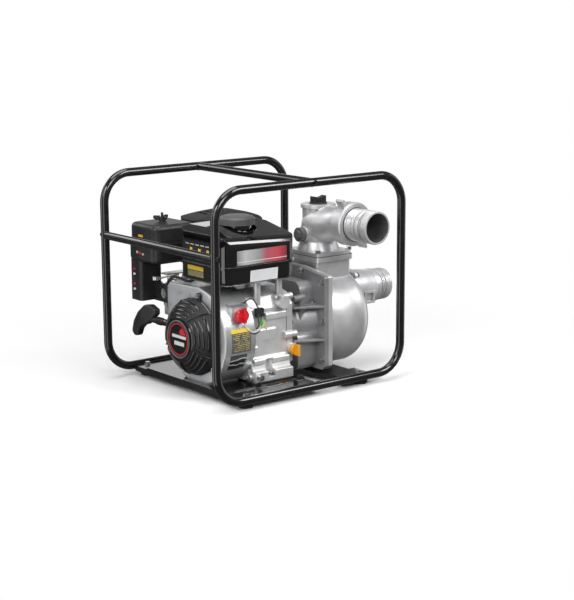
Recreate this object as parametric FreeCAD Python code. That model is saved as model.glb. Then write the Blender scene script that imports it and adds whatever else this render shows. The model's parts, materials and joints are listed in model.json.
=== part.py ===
import FreeCAD, Part
import math
import os

# Engine-driven water pump in a tube frame, in mm. It is laid out with +X along the crankshaft
# from starter to pump, +Z up, and the origin on the floor under the middle of the tube frame.
# "Near" is the -Y side and "far" the +Y side. The written parts are moved by -ORIGIN, to
# stand about the bottom centre of the whole machine's box.

os.makedirs("parts", exist_ok=True)
Vec = FreeCAD.Vector
X, Y, Z = Vec(1, 0, 0), Vec(0, 1, 0), Vec(0, 0, 1)
ORIGIN = Vec(52.5, -3.0, 0.0)

# ---------------------------------------------------------------- driving dimensions
# tube frame
LOOP_X = 270.0                     # tube centre line, half length
LOOP_Y = 219.0                     # tube centre line, half width
LOOP_Z0, LOOP_Z1 = 22.0, 490.0     # bottom and top tube centres
TUBE_R, TUBE_T = 10.0, 1.6
BEND_R = 68.0
BAR_R = 9.5
TOP_BAR_X = 0.0
SIDE_BAR_Z = 347.0
# base plates and feet
PLATE_T = 3.0
ENGINE_PLATE_X = (-205.0, 28.0)
PUMP_PLATE_X = (100.0, 186.0)
END_TOP = 24.0                     # top of the plates over the feet
ENGINE_PLATE_TOP = 28.0
PUMP_PLATE_TOP = 17.5
FEET = (("engine_base_plate", -175.0), ("pump_base_plate", 164.0))   # plate, foot X
FOOT_Y, FOOT_R = 196.0, 16.0
# engine; the cylinder leans from +Y upwards
CRANK_Y, CRANK_Z = -28.0, 134.0
CASE_X = (-104.0, 5.0)
COVER_END = 22.0                   # outer face of the crankcase cover
CYL_X = -54.0                      # cylinder centre along the crank
CYL_TILT = 25.0                    # degrees above horizontal
BORE_R = 34.0
STROKE_R = 27.0                    # crank throw
ROD_L = 100.0
WRIST_PIN = STROKE_R + ROD_L       # distances along the bore start at the crank axis
RING_Z = (12, 16.5, 21)            # piston rings above the wrist pin
DECK = 152.0                       # head face along the bore
PORT_Y, PORT_Z = -2, 23            # ports in the head frame, Z above the deck
PLUG = (-18, 41)                   # spark plug in the head frame, X from the cylinder
JOURNAL_R, BEARING_R = 12.45, 26.0
NOSE_R = 9.0                       # shaft ends
FAN_R = 115.0
FAN_X = (-188.0, -104.0)
FLYWHEEL_R = 92.0
ROPE_X, ROPE_Z = -206, 152
FILLER_X, FILLER_Z = 20, 90
OIL_CAP_Y = -124.6
# fuel tank
TANK_X = (-194.0, 17.0)
TANK_Y = (-146.0, 36.0)
TANK_BOT, TANK_SEAM, TANK_TOP = 262.0, 304.0, 386.0
CAP_X, CAP_Y, CAP_TOP = -84.0, -50.0, 407.0
NECK_R = 34.0
WELL_R, WELL_Z = 45.0, 370.0       # sunken well round the filler neck
# air cleaner
AIR_X = (-212.0, -96.0)
AIR_Y = (95.0, 207.0)
AIR_Z0, AIR_SEAM, AIR_Z1 = 284.0, 340.0, 375.0
AIR_MID_X, AIR_MID_Y = sum(AIR_X) / 2, sum(AIR_Y) / 2
# carburettor axis, choke and throttle spindles
CARB_X, CARB_Y, CARB_Z = -140, 130.0, 208.0
CHOKE_X, THROTTLE_X = -150, -130
# muffler
MUFFLER_X = (-50.0, 80.0)
GUARD_BOX = (-88, 116, 94, 190)    # X range, Y range
# switch
SWITCH_X, SWITCH_Z = -141, 194
# pump
ADAPTER_X = (98.0, 108.0)
CASING_X = ADAPTER_X[1] + 1.0      # the gasket fills the gap
DRUM_R, DRUM_END, DRUM_FILLET = 116.0, 255.0, 36.0
WALL = 6.0
NECK_X = (125.0, 230.0)            # rectangular neck on top of the casing
NECK_Y = (-86.0, 30.0)
NECK_TOP = 288.0
ELBOW_Z = NECK_TOP + 1.0           # the gasket fills the gap
DIS_X, DIS_Y, DIS_Z = 176.0, -28.0, 372.0
DIS_LENGTH = 240.0                 # the discharge tail ends at -Y by this much
SUC_Z, SUC_END = 188.0, 385.0
SIDE_PLUG_Z = 338
DRAIN_Z = 62
TAIL_R, TAIL_BORE = 38.0, 34.0

# outline shared by adapter, gasket and casing (y, z)
FLANGE = [(-146, 40), (-136, 30), (80, 30), (90, 40), (90, 254), (-5, 267), (-51, 267),
          (-146, 254)]

pieces = {}


# ---------------------------------------------------------------- helpers
def add(name, *shapes):
    pieces.setdefault(name, []).extend(shapes)


def box(x0, x1, y0, y1, z0, z1):
    return Part.makeBox(x1 - x0, y1 - y0, z1 - z0, Vec(x0, y0, z0))


def cyl(base, axis, radius, length):
    return Part.makeCylinder(radius, length, Vec(*base), axis)


def rod_between(start, end, radius):
    start, end = Vec(*start), Vec(*end)
    return Part.makeCylinder(radius, (end - start).Length, start, end - start)


def cone(base, axis, radius0, radius1, length):
    return Part.makeCone(radius0, radius1, length, Vec(*base), axis)


def fuse(first, *others):
    return first.fuse(list(others)).removeSplitter()


def cut(shape, *tools):
    return shape.cut(list(tools))


def carve(name, *tools):
    """Cut every solid already added under this name."""
    pieces[name] = [cut(shape, *tools) for shape in pieces[name]]


def turned(shape, degrees, point=(0, CRANK_Y, CRANK_Z), axis=X):
    shape = shape.copy()
    shape.rotate(Vec(*point), axis, degrees)
    return shape


def copies(shape, angles, point=(0, CRANK_Y, CRANK_Z), axis=X):
    return [turned(shape, angle, point, axis) for angle in angles]


def face(points):
    corners = [Vec(*point) for point in points]
    return Part.Face(Part.makePolygon(corners + [corners[0]]))


def yz_prism(points, x0, x1):
    return face([(x0, y, z) for y, z in points]).extrude(Vec(x1 - x0, 0, 0))


def xz_prism(points, y0, y1):
    return face([(x, y0, z) for x, z in points]).extrude(Vec(0, y1 - y0, 0))


def xy_prism(points, z0, z1):
    return face([(x, y, z0) for x, y in points]).extrude(Vec(0, 0, z1 - z0))


def corner_arcs(points, radius):
    """Outline with rounded corners, as point lists: two for a line, three for an arc.
    radius is one value or one per corner; an arc takes at most 0.46 of either side."""
    count = len(points)
    radii = radius if isinstance(radius, (list, tuple)) else [radius] * count
    starts, mids, ends = [], [], []
    for i in range(count):
        before, corner, after = points[i - 1], points[i], points[(i + 1) % count]
        back = (before[0] - corner[0], before[1] - corner[1])
        ahead = (after[0] - corner[0], after[1] - corner[1])
        back_l, ahead_l = math.hypot(*back), math.hypot(*ahead)
        back = (back[0] / back_l, back[1] / back_l)
        ahead = (ahead[0] / ahead_l, ahead[1] / ahead_l)
        half = math.acos(max(-1, min(1, back[0] * ahead[0] + back[1] * ahead[1]))) / 2
        if radii[i] <= 0 or half > 1.55:    # sharp, or almost straight
            starts.append(corner)
            mids.append(None)
            ends.append(corner)
            continue
        setback = min(radii[i] / math.tan(half), 0.46 * back_l, 0.46 * ahead_l)
        arc_r = setback * math.tan(half)
        bisector = (back[0] + ahead[0], back[1] + ahead[1])
        length = math.hypot(*bisector)
        reach = arc_r / math.sin(half)
        centre = [corner[k] + bisector[k] / length * reach for k in (0, 1)]
        starts.append([corner[k] + back[k] * setback for k in (0, 1)])
        mids.append([centre[k] - bisector[k] / length * arc_r for k in (0, 1)])
        ends.append([corner[k] + ahead[k] * setback for k in (0, 1)])
    segments = []
    for i in range(count):
        if mids[i]:
            segments.append((starts[i], mids[i], ends[i]))
        after = starts[(i + 1) % count]
        if math.hypot(ends[i][0] - after[0], ends[i][1] - after[1]) > 1e-6:
            segments.append((ends[i], after))
    return segments


def round_prism(points, radius, place, direction):
    edges = []
    for segment in corner_arcs(points, radius):
        spots = [place(point) for point in segment]
        edges.append(Part.makeLine(*spots) if len(spots) == 2 else Part.Arc(*spots).toShape())
    return Part.Face(Part.Wire(edges)).extrude(direction)


def yz_round(points, x0, x1, radius):
    return round_prism(points, radius, lambda p: Vec(x0, p[0], p[1]), Vec(x1 - x0, 0, 0))


def xz_round(points, y0, y1, radius):
    return round_prism(points, radius, lambda p: Vec(p[0], y0, p[1]), Vec(0, y1 - y0, 0))


def round_edges(shape, radius, test):
    """Fillet the edges for which test(edge) holds."""
    edges = [edge for edge in shape.Edges if test(edge)]
    if not edges:
        return shape
    # a radius too large for its neighbours fails or gives a bad solid: try smaller ones
    for scale in (1, 0.6, 0.3):
        try:
            rounded = shape.makeFillet(radius * scale, edges)
            if rounded.isValid():
                return rounded
        except Exception:
            pass
    return shape


def straight_edge_test(*fixed):
    """Edge test: a straight edge whose ends agree in the fixed coordinates."""
    def test(edge):
        start, end = edge.Vertexes[0].Point, edge.Vertexes[-1].Point
        return (edge.Curve.TypeId == "Part::GeomLine"
                and all(abs(start[k] - end[k]) < 1e-6 for k in fixed))
    return test


along_x = straight_edge_test(1, 2)
along_y = straight_edge_test(0, 2)
vertical = straight_edge_test(0, 1)


def round_box(x0, x1, y0, y1, z0, z1, radius, top=0, bottom=0):
    """Box with its vertical edges rounded, then its top and bottom edges."""
    solid = round_edges(box(x0, x1, y0, y1, z0, z1), radius, vertical)
    if top:
        solid = round_edges(solid, top, lambda e: abs(e.BoundBox.ZMin - z1) < 1e-4)
    if bottom:
        solid = round_edges(solid, bottom, lambda e: abs(e.BoundBox.ZMax - z0) < 1e-4)
    return solid


def hexagon(base, axis, flats, height):
    axis = Vec(axis).normalize()
    side = axis.cross(X if abs(axis.x) < 0.9 else Y).normalize()
    other = axis.cross(side)
    radius = flats / math.sqrt(3)
    corners = []
    for k in range(6):
        angle = math.radians(60 * k)
        corners.append(Vec(*base) + side * (radius * math.cos(angle))
                       + other * (radius * math.sin(angle)))
    return face(corners).extrude(axis * height)


def revolve_x(points, axis_z=CRANK_Z):
    """Closed (x, radius) outline turned about a line along X over or on the crank axis."""
    profile = face([(x, CRANK_Y + r, axis_z) for x, r in points])
    return profile.revolve(Vec(0, CRANK_Y, axis_z), X, 360)


def revolve_discharge(points):
    """Closed (y, radius) outline turned about the discharge axis."""
    profile = face([(DIS_X + r, y, DIS_Z) for y, r in points])
    return profile.revolve(Vec(DIS_X, 0, DIS_Z), Y, 360)


def ring(x0, x1, r0, r1):
    return revolve_x([(x0, r0), (x1, r0), (x1, r1), (x0, r1)])


def pipe(points, radius):
    """Round bar swept along a smooth curve through the points."""
    curve = Part.BSplineCurve()
    curve.interpolate([Vec(*point) for point in points])
    path = Part.Wire(curve.toShape())
    tangent = curve.tangent(curve.FirstParameter)[0]
    profile = Part.Wire(Part.makeCircle(radius, Vec(*points[0]), tangent))
    return path.makePipeShell([profile], True, True)


def on_crank(x, radius, length):
    """Cylinder on the crank axis."""
    return cyl((x, CRANK_Y, CRANK_Z), X, radius, length)


def crank_box(x0, x1, y0, y1, z0, z1):
    """Box with Y and Z measured from the crank axis."""
    return box(x0, x1, CRANK_Y + y0, CRANK_Y + y1, CRANK_Z + z0, CRANK_Z + z1)


def ring_point(x, radius, degrees, axis_z=CRANK_Z):
    """Point on a circle about X, starting at the top and turning towards -Y."""
    angle = math.radians(degrees)
    return (x, CRANK_Y - radius * math.sin(angle), axis_z + radius * math.cos(angle))


def from_head(shape):
    """Head frame (Z out along the bore from the crank axis, X along the crank) to world."""
    shape = turned(shape, -(90 - CYL_TILT), (0, 0, 0))
    shape.translate(Vec(0, CRANK_Y, CRANK_Z))
    return shape


def head_point(x, y, z):
    angle = math.radians(-(90 - CYL_TILT))
    return (x, CRANK_Y + y * math.cos(angle) - z * math.sin(angle),
            CRANK_Z + y * math.sin(angle) + z * math.cos(angle))


HEAD_DIR = Vec(0, math.cos(math.radians(CYL_TILT)), math.sin(math.radians(CYL_TILT)))


def in_bore(z, radius, length):
    """Head frame: cylinder on the bore axis."""
    return cyl((CYL_X, 0, z), Z, radius, length)


def across_bore(x, z, radius, length):
    """Head frame: cylinder along the crank, X from the bore axis."""
    return cyl((CYL_X + x, 0, z), X, radius, length)


def deck_cyl(x, y, z, axis, radius, length):
    """Head frame: cylinder, X from the bore axis and Z above the deck."""
    return cyl((CYL_X + x, y, DECK + z), axis, radius, length)


def deck_box(x0, x1, y0, y1, z0, z1, *radii):
    """Head frame: box, or round_box if radii are given, placed as in deck_cyl."""
    limits = (CYL_X + x0, CYL_X + x1, y0, y1, DECK + z0, DECK + z1)
    return round_box(*limits, *radii) if radii else box(*limits)


def bolt(node, seat, out, drilled, radius=3.0, depth=14.0, flats=10.0, head=5.0,
         washer=7.5, washer_t=1.2, nut=None):
    """Hex bolt: washer on the seat, head outwards along out, shank inwards.
    The drilled pieces get its hole. nut is the distance from the seat to the nut."""
    out = Vec(out).normalize()
    seat = Vec(*seat)
    solid = cyl(seat, out, washer, washer_t)
    solid = solid.fuse(hexagon(seat + out * washer_t, out, flats, head))
    solid = solid.fuse(cyl(seat - out * depth, out, radius, depth + washer_t + 0.5))
    if nut:
        solid = solid.fuse(hexagon(seat - out * (nut + head), out, flats, head))
    add(node, solid.removeSplitter())
    for name in drilled:
        hole = cyl(seat - out * (depth + 0.2), out, radius + 0.05, depth + 0.3)
        pieces[name] = [shape.cut(hole) for shape in pieces[name]]


# ---------------------------------------------------------------- frame
def loop_solid(y, radius):
    """Solid bar bent into a closed rounded rectangle in the XZ plane at y."""
    z0, z1 = LOOP_Z0 + BEND_R, LOOP_Z1 - BEND_R
    mid_x = LOOP_X - BEND_R
    bars = [cyl((-mid_x, y, LOOP_Z0), X, radius, 2 * mid_x),
            cyl((-mid_x, y, LOOP_Z1), X, radius, 2 * mid_x),
            cyl((-LOOP_X, y, z0), Z, radius, z1 - z0),
            cyl((LOOP_X, y, z0), Z, radius, z1 - z0)]
    for side in (-1, 1):
        for z, up in ((z0, -1), (z1, 1)):
            torus = Part.makeTorus(BEND_R, radius, Vec(side * mid_x, y, z), Y)
            corner = box(*sorted((side * mid_x, side * (mid_x + 200))), y - 50, y + 50,
                         *sorted((z, z + up * 200)))
            bars.append(torus.common(corner))
    return fuse(*bars)


LOOP_SIDES = (-LOOP_Y, LOOP_Y)
OUTER_LOOPS = [loop_solid(y, TUBE_R) for y in LOOP_SIDES]


def side_frames():
    for name, y, outer in zip(("side_frame_near", "side_frame_far"), LOOP_SIDES, OUTER_LOOPS):
        drain = cyl((60, y, LOOP_Z0 - TUBE_R - 2), Z, 2.0, 6)
        add(name, cut(outer, loop_solid(y, TUBE_R - TUBE_T), drain))


def crossbars():
    """Tubes between the loops, coped onto them, solid at the ends and bolted there."""
    bore_y = LOOP_Y - 34
    for name, x, z in (("top_crossbar", TOP_BAR_X, LOOP_Z1),
                       ("side_crossbar", -LOOP_X, SIDE_BAR_Z)):
        bar = cut(cyl((x, -LOOP_Y, z), Y, BAR_R, 2 * LOOP_Y), *OUTER_LOOPS)
        bar = cut(bar, cyl((x, -bore_y, z), Y, BAR_R - TUBE_T, 2 * bore_y))
        drain = cyl((x, 40, z - BAR_R - 1), Z, 1.5, 4)
        add(name, cut(bar, drain))
        for side, loop in ((-1, "side_frame_near"), (1, "side_frame_far")):
            bolt("frame_bolts", (x, side * (LOOP_Y + TUBE_R), z), Vec(0, side, 0),
                 [name, loop], depth=36, head=4.0, washer=6.0, washer_t=1.0)


def base_plate(x0, x1, middle, ramp0, ramp1, lip):
    """Joggled channel: end pads over the feet, a ramp, a level middle, lips down to lip."""
    top = [(-215, END_TOP), (-ramp1, END_TOP), (-ramp0, middle), (ramp0, middle),
           (ramp1, END_TOP), (215, END_TOP)]
    bottom = [(y, z - PLATE_T) for y, z in reversed(top)]
    low = [(206, END_TOP - 1), (206, lip + 3), (200, lip), (-200, lip), (-206, lip + 3),
           (-206, END_TOP - 1)]
    side = [(-206, END_TOP)] + top[1:-1] + [(206, END_TOP)] + low
    lips = [yz_prism(side, x, x + PLATE_T) for x in (x0, x1 - PLATE_T)]
    return cut(fuse(yz_prism(top + bottom, x0, x1), *lips), *OUTER_LOOPS)


def base_plates():
    engine_plate = base_plate(*ENGINE_PLATE_X, ENGINE_PLATE_TOP, 150, 158, 11.0)
    add("engine_base_plate", cut(engine_plate, round_box(-194, -100.5, -80, 24, 10, 40, 14),
                                 cyl((4, -28, 10), Z, 14, 40)))
    add("pump_base_plate", base_plate(*PUMP_PLATE_X, PUMP_PLATE_TOP, 136, 150, 7.0))


def rubber_mounts():
    for plate, x in FEET:
        for y in (-FOOT_Y, FOOT_Y):
            foot = fuse(cone((x, y, 0), Z, FOOT_R, FOOT_R + 1.5, 6),
                        cone((x, y, 6), Z, FOOT_R + 1.5, FOOT_R - 2, END_TOP - PLATE_T - 6))
            foot = cut(foot, cyl((x, y, -1), Z, 9.0, 8))
            add("rubber_mounts", cut(foot, *OUTER_LOOPS))
            bolt("frame_bolts", (x, y, END_TOP), Z, [plate, "rubber_mounts"],
                 depth=21.5, washer=8, washer_t=1.4, nut=17.2)
    # sheets under the engine feet
    for y0, y1 in ((-142, -112), (48, 86)):
        add("rubber_mounts", box(-110, -2, y0, y1, ENGINE_PLATE_TOP, ENGINE_PLATE_TOP + 3))


# ---------------------------------------------------------------- engine: crankcase
# (y, z) outline and its corner radii; two corners lie 88 mm out along the bore
CASE_OUTLINE = [(-142, 31), (-142, 54), (-131, 56), (-125, 74), (-119, 86), (-117, 196),
                (-98, 222), (-60, 236), (-8, 238),
                *[head_point(0, y, 88)[1:] for y in (-52, 52)],
                (80, 100), (80, 56), (86, 54), (86, 31)]
CASE_RADII = [1.5, 2, 3, 5, 5, 8, 12, 14, 8, 2, 2, 6, 3, 2, 1.5]
# base, axis, radius, length; the upright ones are the tank posts
CASE_BOSSES = [
    ((-24, -107, 214), X, 8, 29), ((-6, -122, 127), X, 8, 11), ((-11, -132, 206), Y, 15, 30),
    ((-70, -104, 200), Z, 8, TANK_BOT - 200), ((-7, -104, 205), Z, 8, TANK_BOT - 205),
    ((-90, 14, 215), Z, 8, TANK_BOT - 215), ((-7, 14, 215), Z, 8, TANK_BOT - 215),
    ((-100, -121, 108), X, 8, 12)]
COVER_OUTLINE = [(-118, 62), (-118, 198), (-98, 222), (-60, 234), (-8, 236), (26, 214),
                 (66, 128), (72, 100), (72, 62), (56, 50), (-104, 50)]
COVER_BOLTS = [(-99, 66), (-108, 150), (-82, 216), (-40, 226), (12, 216), (48, 150),
               (62, 96), (10, 60), (-60, 60)]
MOUNT_X, MOUNT_Z = -57, 41         # mounting bolts through the crankcase feet
MOUNTS = ((-131, -1), (77, 1))     # bolt Y, side on which the slot is open


def crankcase():
    case = yz_round(CASE_OUTLINE, *CASE_X, CASE_RADII)
    # a rib and two pads on the near wall
    case = fuse(case, round_edges(box(-100, 2, -133, -112, 70, 82), 3, along_x),
                round_edges(box(-98, -30, -122, -110, 120, 150), 5, along_x),
                round_edges(box(-60, 0, -124, -108, 168, 186), 5, along_x))
    barrel = [in_bore(60, 43, DECK - 60)]
    for z in range(98, 147, 8):
        barrel.append(round_box(CYL_X - 50, CYL_X + 50, -52, 52, z, z + 3, 16))
    case = fuse(case, *[from_head(part) for part in barrel])
    case = fuse(case, *[cyl(*boss) for boss in CASE_BOSSES])
    cavity = fuse(on_crank(-90, 57, 96), box(-90, 6, -108, 66, 44, 112))
    case = cut(case, cavity, from_head(in_bore(0, BORE_R, DECK + 2)),
               on_crank(-110, BEARING_R, 30))
    for y, side in MOUNTS:
        case = cut(case, cyl((MOUNT_X, y, MOUNT_Z), Z, 10.5, 40),
                   box(MOUNT_X - 10.5, MOUNT_X + 10.5, *sorted((y, y + side * 20)),
                       MOUNT_Z, 80))
    add("crankcase", case)
    for y, _ in MOUNTS:
        bolt("engine_bolts", (MOUNT_X, y, MOUNT_Z), Z,
             ["crankcase", "engine_base_plate", "rubber_mounts"],
             radius=4.0, depth=25, flats=13, head=6.5, washer=9.5, washer_t=1.6, nut=16.0)


def crankcase_cover():
    """Cover on the pump end, with the shaft boss, the filler and its ring of bolts."""
    start = CASE_X[1]
    cover = yz_round(COVER_OUTLINE, start, COVER_END, 9)
    cover = fuse(cover, on_crank(COVER_END, 60, 9), cyl((start, -107, 214), X, 8, 22),
                 cyl((start, -122, 127), X, 8, 24),
                 cyl((FILLER_X, -110, FILLER_Z), -Y, 14.5, 14.5),
                 box(start, COVER_END, -120, -100, 80, 100))
    cover = cut(cover, on_crank(4, 46, 4), on_crank(4, BEARING_R, 20), on_crank(4, 15, 40),
                cyl((FILLER_X, OIL_CAP_Y, FILLER_Z), Y, 10.0, 40))
    add("crankcase_cover", cover)
    for y, z in COVER_BOLTS:
        bolt("engine_bolts", (COVER_END, y, z), X, ["crankcase_cover", "crankcase"],
             depth=20, head=5.5, washer=6.5)


# ---------------------------------------------------------------- engine: head
def cylinder_head():
    fins = [deck_box(-50, 50, -52, 46, z, z + 3, 14) for z in (16, 24, 32)]
    head = fuse(deck_box(-50, 50, -52, 52, 0, 10, 14), in_bore(DECK, 40, 40), *fins)
    head = fuse(head, deck_box(-40, 40, -46, 26, 34, 44, 12),
                deck_box(-48, -20, -20, 16, 6, 38), deck_box(20, 50, -20, 16, 6, 38))
    # plug boss on the lower side, ports along the crank, shallow combustion chamber
    head = fuse(head, deck_cyl(*PLUG, 2, Z, 13, 40))
    head = cut(head, deck_cyl(*PLUG, -1, Z, 6.0, 80),
               deck_cyl(-60, PORT_Y, PORT_Z, X, 11, 44),
               deck_cyl(16, PORT_Y, PORT_Z, X, 11, 44), in_bore(DECK - 1, BORE_R - 4, 7))
    add("cylinder_head", from_head(head))


def valve_cover():
    cover = deck_box(-38, 38, -44, 24, 44, 70, 12, 7)
    cover = fuse(cover, deck_box(-42, 42, -48, 28, 44, 47, 13))
    cover = cut(cover, deck_box(-35, 35, -41, 21, 40, 66, 10, 5))
    add("valve_cover", from_head(cover))
    for x, y in ((-36.5, -43), (36.5, -43), (-36.5, 23), (36.5, 23)):
        bolt("engine_bolts", head_point(CYL_X + x, y, DECK + 47), HEAD_DIR,
             ["valve_cover", "cylinder_head"],
             radius=1.6, depth=12, flats=5.2, head=4, washer=3.0, washer_t=0.8)


# ---------------------------------------------------------------- engine: moving works
# x, radius, length
SHAFT_STEPS = [(-190.5, NOSE_R, 20), (-172, 12.0, 68), (-104, JOURNAL_R, 30),
               (-32, JOURNAL_R, 130), (98, NOSE_R, 44), (-88, 17, 10), (-30, 17, 36)]
# (x, radius) outlines
FLYWHEEL = [(-172, 12.0), (-172, 88), (-168, FLYWHEEL_R), (-146, FLYWHEEL_R), (-140, 88),
            (-140, 78), (-158, 74), (-158, 34), (-130, 30), (-126, 20), (-126, 12.0)]
STARTER_CUP = [(-172, NOSE_R), (-172, 40), (-190, 40), (-190, 37.5), (-174.5, 37.5),
               (-174.5, 16), (-182, 15), (-182, NOSE_R)]


def crankshaft():
    shaft = fuse(*[on_crank(*step) for step in SHAFT_STEPS])
    pin = from_head(across_bore(-24, STROKE_R, 14.0, 48))
    webs = []
    for x in (CYL_X - 25, CYL_X + 12):
        web = cut(cyl((x, 0, 0), X, 46, 13), box(x - 1, x + 14, 20, 60, 4, 60),
                  box(x - 1, x + 14, -60, -20, 4, 60))
        webs.append(from_head(web))
    shaft = cut(shaft, on_crank(CYL_X - 12, 13.0, 24))
    add("crankshaft", fuse(shaft, pin, *webs))


def crank_bearings():
    for x in (-104.0, 8.0):
        race = cut(on_crank(x, BEARING_R, 14), on_crank(x - 1, 12.5, 20))
        add("crank_bearings", cut(race, ring(x - 1, x + 1, 16.5, 21.5),
                                  ring(x + 13, x + 15, 16.5, 21.5)))


def flywheel():
    """Wheel with fan blades, the starter cup with three windows, and the nut."""
    blade = turned(crank_box(-184, -171, -1.6, 1.6, 46, 89), 22, (0, CRANK_Y, CRANK_Z + 46))
    wheel = fuse(revolve_x(FLYWHEEL), *copies(blade, [k * 360.0 / 14 for k in range(14)]))
    wheel = cut(wheel, *copies(crank_box(-200, -120, -60, -40, 40, 58), (15, 135, 255)))
    cup = cut(revolve_x(STARTER_CUP),
              *copies(crank_box(-187, -179, -8, 8, 30, 45), (0, 120, 240)))
    nut = cut(hexagon((-190, CRANK_Y, CRANK_Z), X, 19, 8), on_crank(-195, NOSE_R, 20))
    add("flywheel", cut(wheel, on_crank(-210, 12.0, 100)), cup, nut)


def piston():
    """Piston, its three rings and the hollow wrist pin."""
    skirt = in_bore(WRIST_PIN - 16, BORE_R - 0.05, 40)

    def groove_floor(z):
        return in_bore(WRIST_PIN + z - 1, 31.5, 4)

    grooves = [cut(in_bore(WRIST_PIN + z, 40, 1.6), groove_floor(z)) for z in RING_Z]
    body = cut(skirt, in_bore(WRIST_PIN - 20, 28, 36), *grooves)
    body = fuse(body, across_bore(-31, WRIST_PIN, 13, 17), across_bore(14, WRIST_PIN, 13, 17))
    body = body.common(skirt)
    body = cut(body, across_bore(-40, WRIST_PIN, 9.0, 80))
    rings = [cut(in_bore(WRIST_PIN + z + 0.05, BORE_R - 0.02, 1.5), groove_floor(z))
             for z in RING_Z]
    pin = cut(across_bore(-27, WRIST_PIN, 9.0, 54), across_bore(-40, WRIST_PIN, 5.5, 80))
    add("piston", *[from_head(part) for part in (body, *rings, pin)])


def connecting_rod():
    x = CYL_X
    rod = fuse(across_bore(-10, WRIST_PIN, 14, 20), across_bore(-11, STROKE_R, 19.0, 22),
               box(x - 5, x + 5, -8, 8, STROKE_R + 14, WRIST_PIN - 10),
               box(x - 11, x + 11, -23, 23, STROKE_R - 3, STROKE_R + 3))
    channels = [box(x + x0, x + x1, -5, 5, STROKE_R + 22, WRIST_PIN - 15)
                for x0, x1 in ((-20, -3), (3, 20))]
    rod = cut(rod, across_bore(-20, WRIST_PIN, 9.05, 40),
              across_bore(-20, STROKE_R, 14.05, 40), *channels)
    add("connecting_rod", from_head(rod))


# ---------------------------------------------------------------- engine: fan and starter
# (x, radius) outlines
RECOIL_SHELL = [(-188, 90), (-192, 90), (-216, 76), (-230, 58), (-236, 50), (-236, 0.001),
                (-233.5, 0.001), (-233.5, 48.5), (-228.5, 55.5), (-214.6, 73.6),
                (-191, 87.4), (-188, 87.4)]
RECOIL_MOUTH = [(-187, 0.001), (-187, 87.4), (-191, 87.4), (-191.001, 0.001)]
REEL = [(-215, 9.05), (-215, 60), (-213, 60), (-213, 40), (-203, 40), (-203, 60), (-201, 60),
        (-201, 34), (-195, 33), (-195, 9.05)]
RECOIL_BOLT_R = 98
RECOIL_ANGLES = (10, 130, 250)
# pull grip: y, z, corner radius
GRIP = [(101, 179, 5), (124, 187, 14), (149, 183, 20), (176, 163, 24), (194, 139, 22),
        (202, 113, 9), (192, 102, 7), (177, 104, 7), (168, 122, 14), (152, 134, 14),
        (137, 138, 10), (120, 150, 14), (101, 166, 5)]
GRIP_T = 9.5                       # half thickness


def on_rope(y0, y1, radius):
    """Cylinder on the line of the starter rope."""
    return rod_between((ROPE_X, y0, ROPE_Z), (ROPE_X, y1, ROPE_Z), radius)


def shroud(x0, x1, radius, duct_y, duct_z):
    """Round shroud joined to a squarer duct reaching up and towards the cylinder."""
    duct = [(CRANK_Y + 10, CRANK_Z - 40), (duct_y, CRANK_Z - 10), (duct_y, duct_z - 10),
            (duct_y - 10, duct_z), (CRANK_Y - 10, CRANK_Z + radius),
            (CRANK_Y - 30, CRANK_Z + 40)]
    return fuse(on_crank(x0, radius, x1 - x0), yz_prism(duct, x0, x1))


def fan_housing():
    x0, x1 = FAN_X
    housing = round_edges(shroud(x0, x1, FAN_R, 87, 246), 7,
                          lambda e: abs(e.BoundBox.XMin - x0) < 1e-4
                          and abs(e.BoundBox.XMax - x0) < 1e-4)
    housing = cut(housing, shroud(x0 + 2.5, x1 + 5, FAN_R - 2.5, 84.5, 243.5),
                  on_crank(x0 - 5, 80, 10))
    # low lug with its bolt
    lug_seat = (-112, -124, 42)
    lug = fuse(cyl(lug_seat, X, 9, 8), box(-112, -104, -124, -108, 36, 62))
    add("fan_housing", fuse(housing, cut(lug, on_crank(x0, FAN_R - 2.5, 100))))
    bolt("engine_bolts", lug_seat, -X, ["fan_housing"], depth=7, head=5.5)


def recoil_cover():
    """Louvred cone over the starter, with the reel post, three ears and the rope guide."""
    cover = fuse(revolve_x(RECOIL_SHELL), fuse(on_crank(-234, 9.0, 42), on_crank(-234, 16, 14)))
    ear = fuse(cyl(ring_point(-193, RECOIL_BOLT_R, 0), X, 8, 5),
               crank_box(-193, -188, -8, 8, 84, RECOIL_BOLT_R))
    for turned_ear in copies(ear, RECOIL_ANGLES):
        cover = fuse(cover, turned_ear)
    cover = cut(cover, revolve_x(RECOIL_MOUTH).cut(on_crank(-240, 9.0, 60)))
    # louvres, left out beside the rope guide
    slot_angles = [k * 20 + 6 for k in range(18) if k not in (14, 15)]
    cover = cut(cover, *copies(crank_box(-229, -196, -3.0, 3.0, 60, 95), slot_angles))
    guide = fuse(on_rope(CRANK_Y + 60, CRANK_Y + 98, 8),
                 box(-212, -190, CRANK_Y + 70, CRANK_Y + 84, 142, 162))
    cover = fuse(cover, cut(guide, on_crank(-240, 62, 60)))
    add("recoil_cover", cut(cover, on_rope(CRANK_Y + 40, CRANK_Y + 110, 4.0)))
    for angle in RECOIL_ANGLES:
        bolt("engine_bolts", ring_point(-193, RECOIL_BOLT_R, angle), -X,
             ["recoil_cover", "fan_housing"], radius=2.5, depth=9, flats=8, head=4.5, washer=6)
    # retainer screw on the end of the post
    carve("recoil_cover", on_crank(-201, 4.0, 12))
    carve("recoil_cover", crank_box(-194.9, -180, -20, 20, -20, 20))
    add("engine_bolts", fuse(on_crank(-194.8, 14, 2.0), on_crank(-200, 4, 6)))


def recoil_reel():
    hole = cyl((-220, CRANK_Y, CRANK_Z + 26), X, 6, 40)
    add("recoil_reel", cut(revolve_x(REEL), *copies(hole, range(0, 360, 60))))
    add("rope_coil", *[ring(-212.6, -203.4, r, r + 4.4) for r in (40.2, 45.0, 49.8)])


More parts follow.
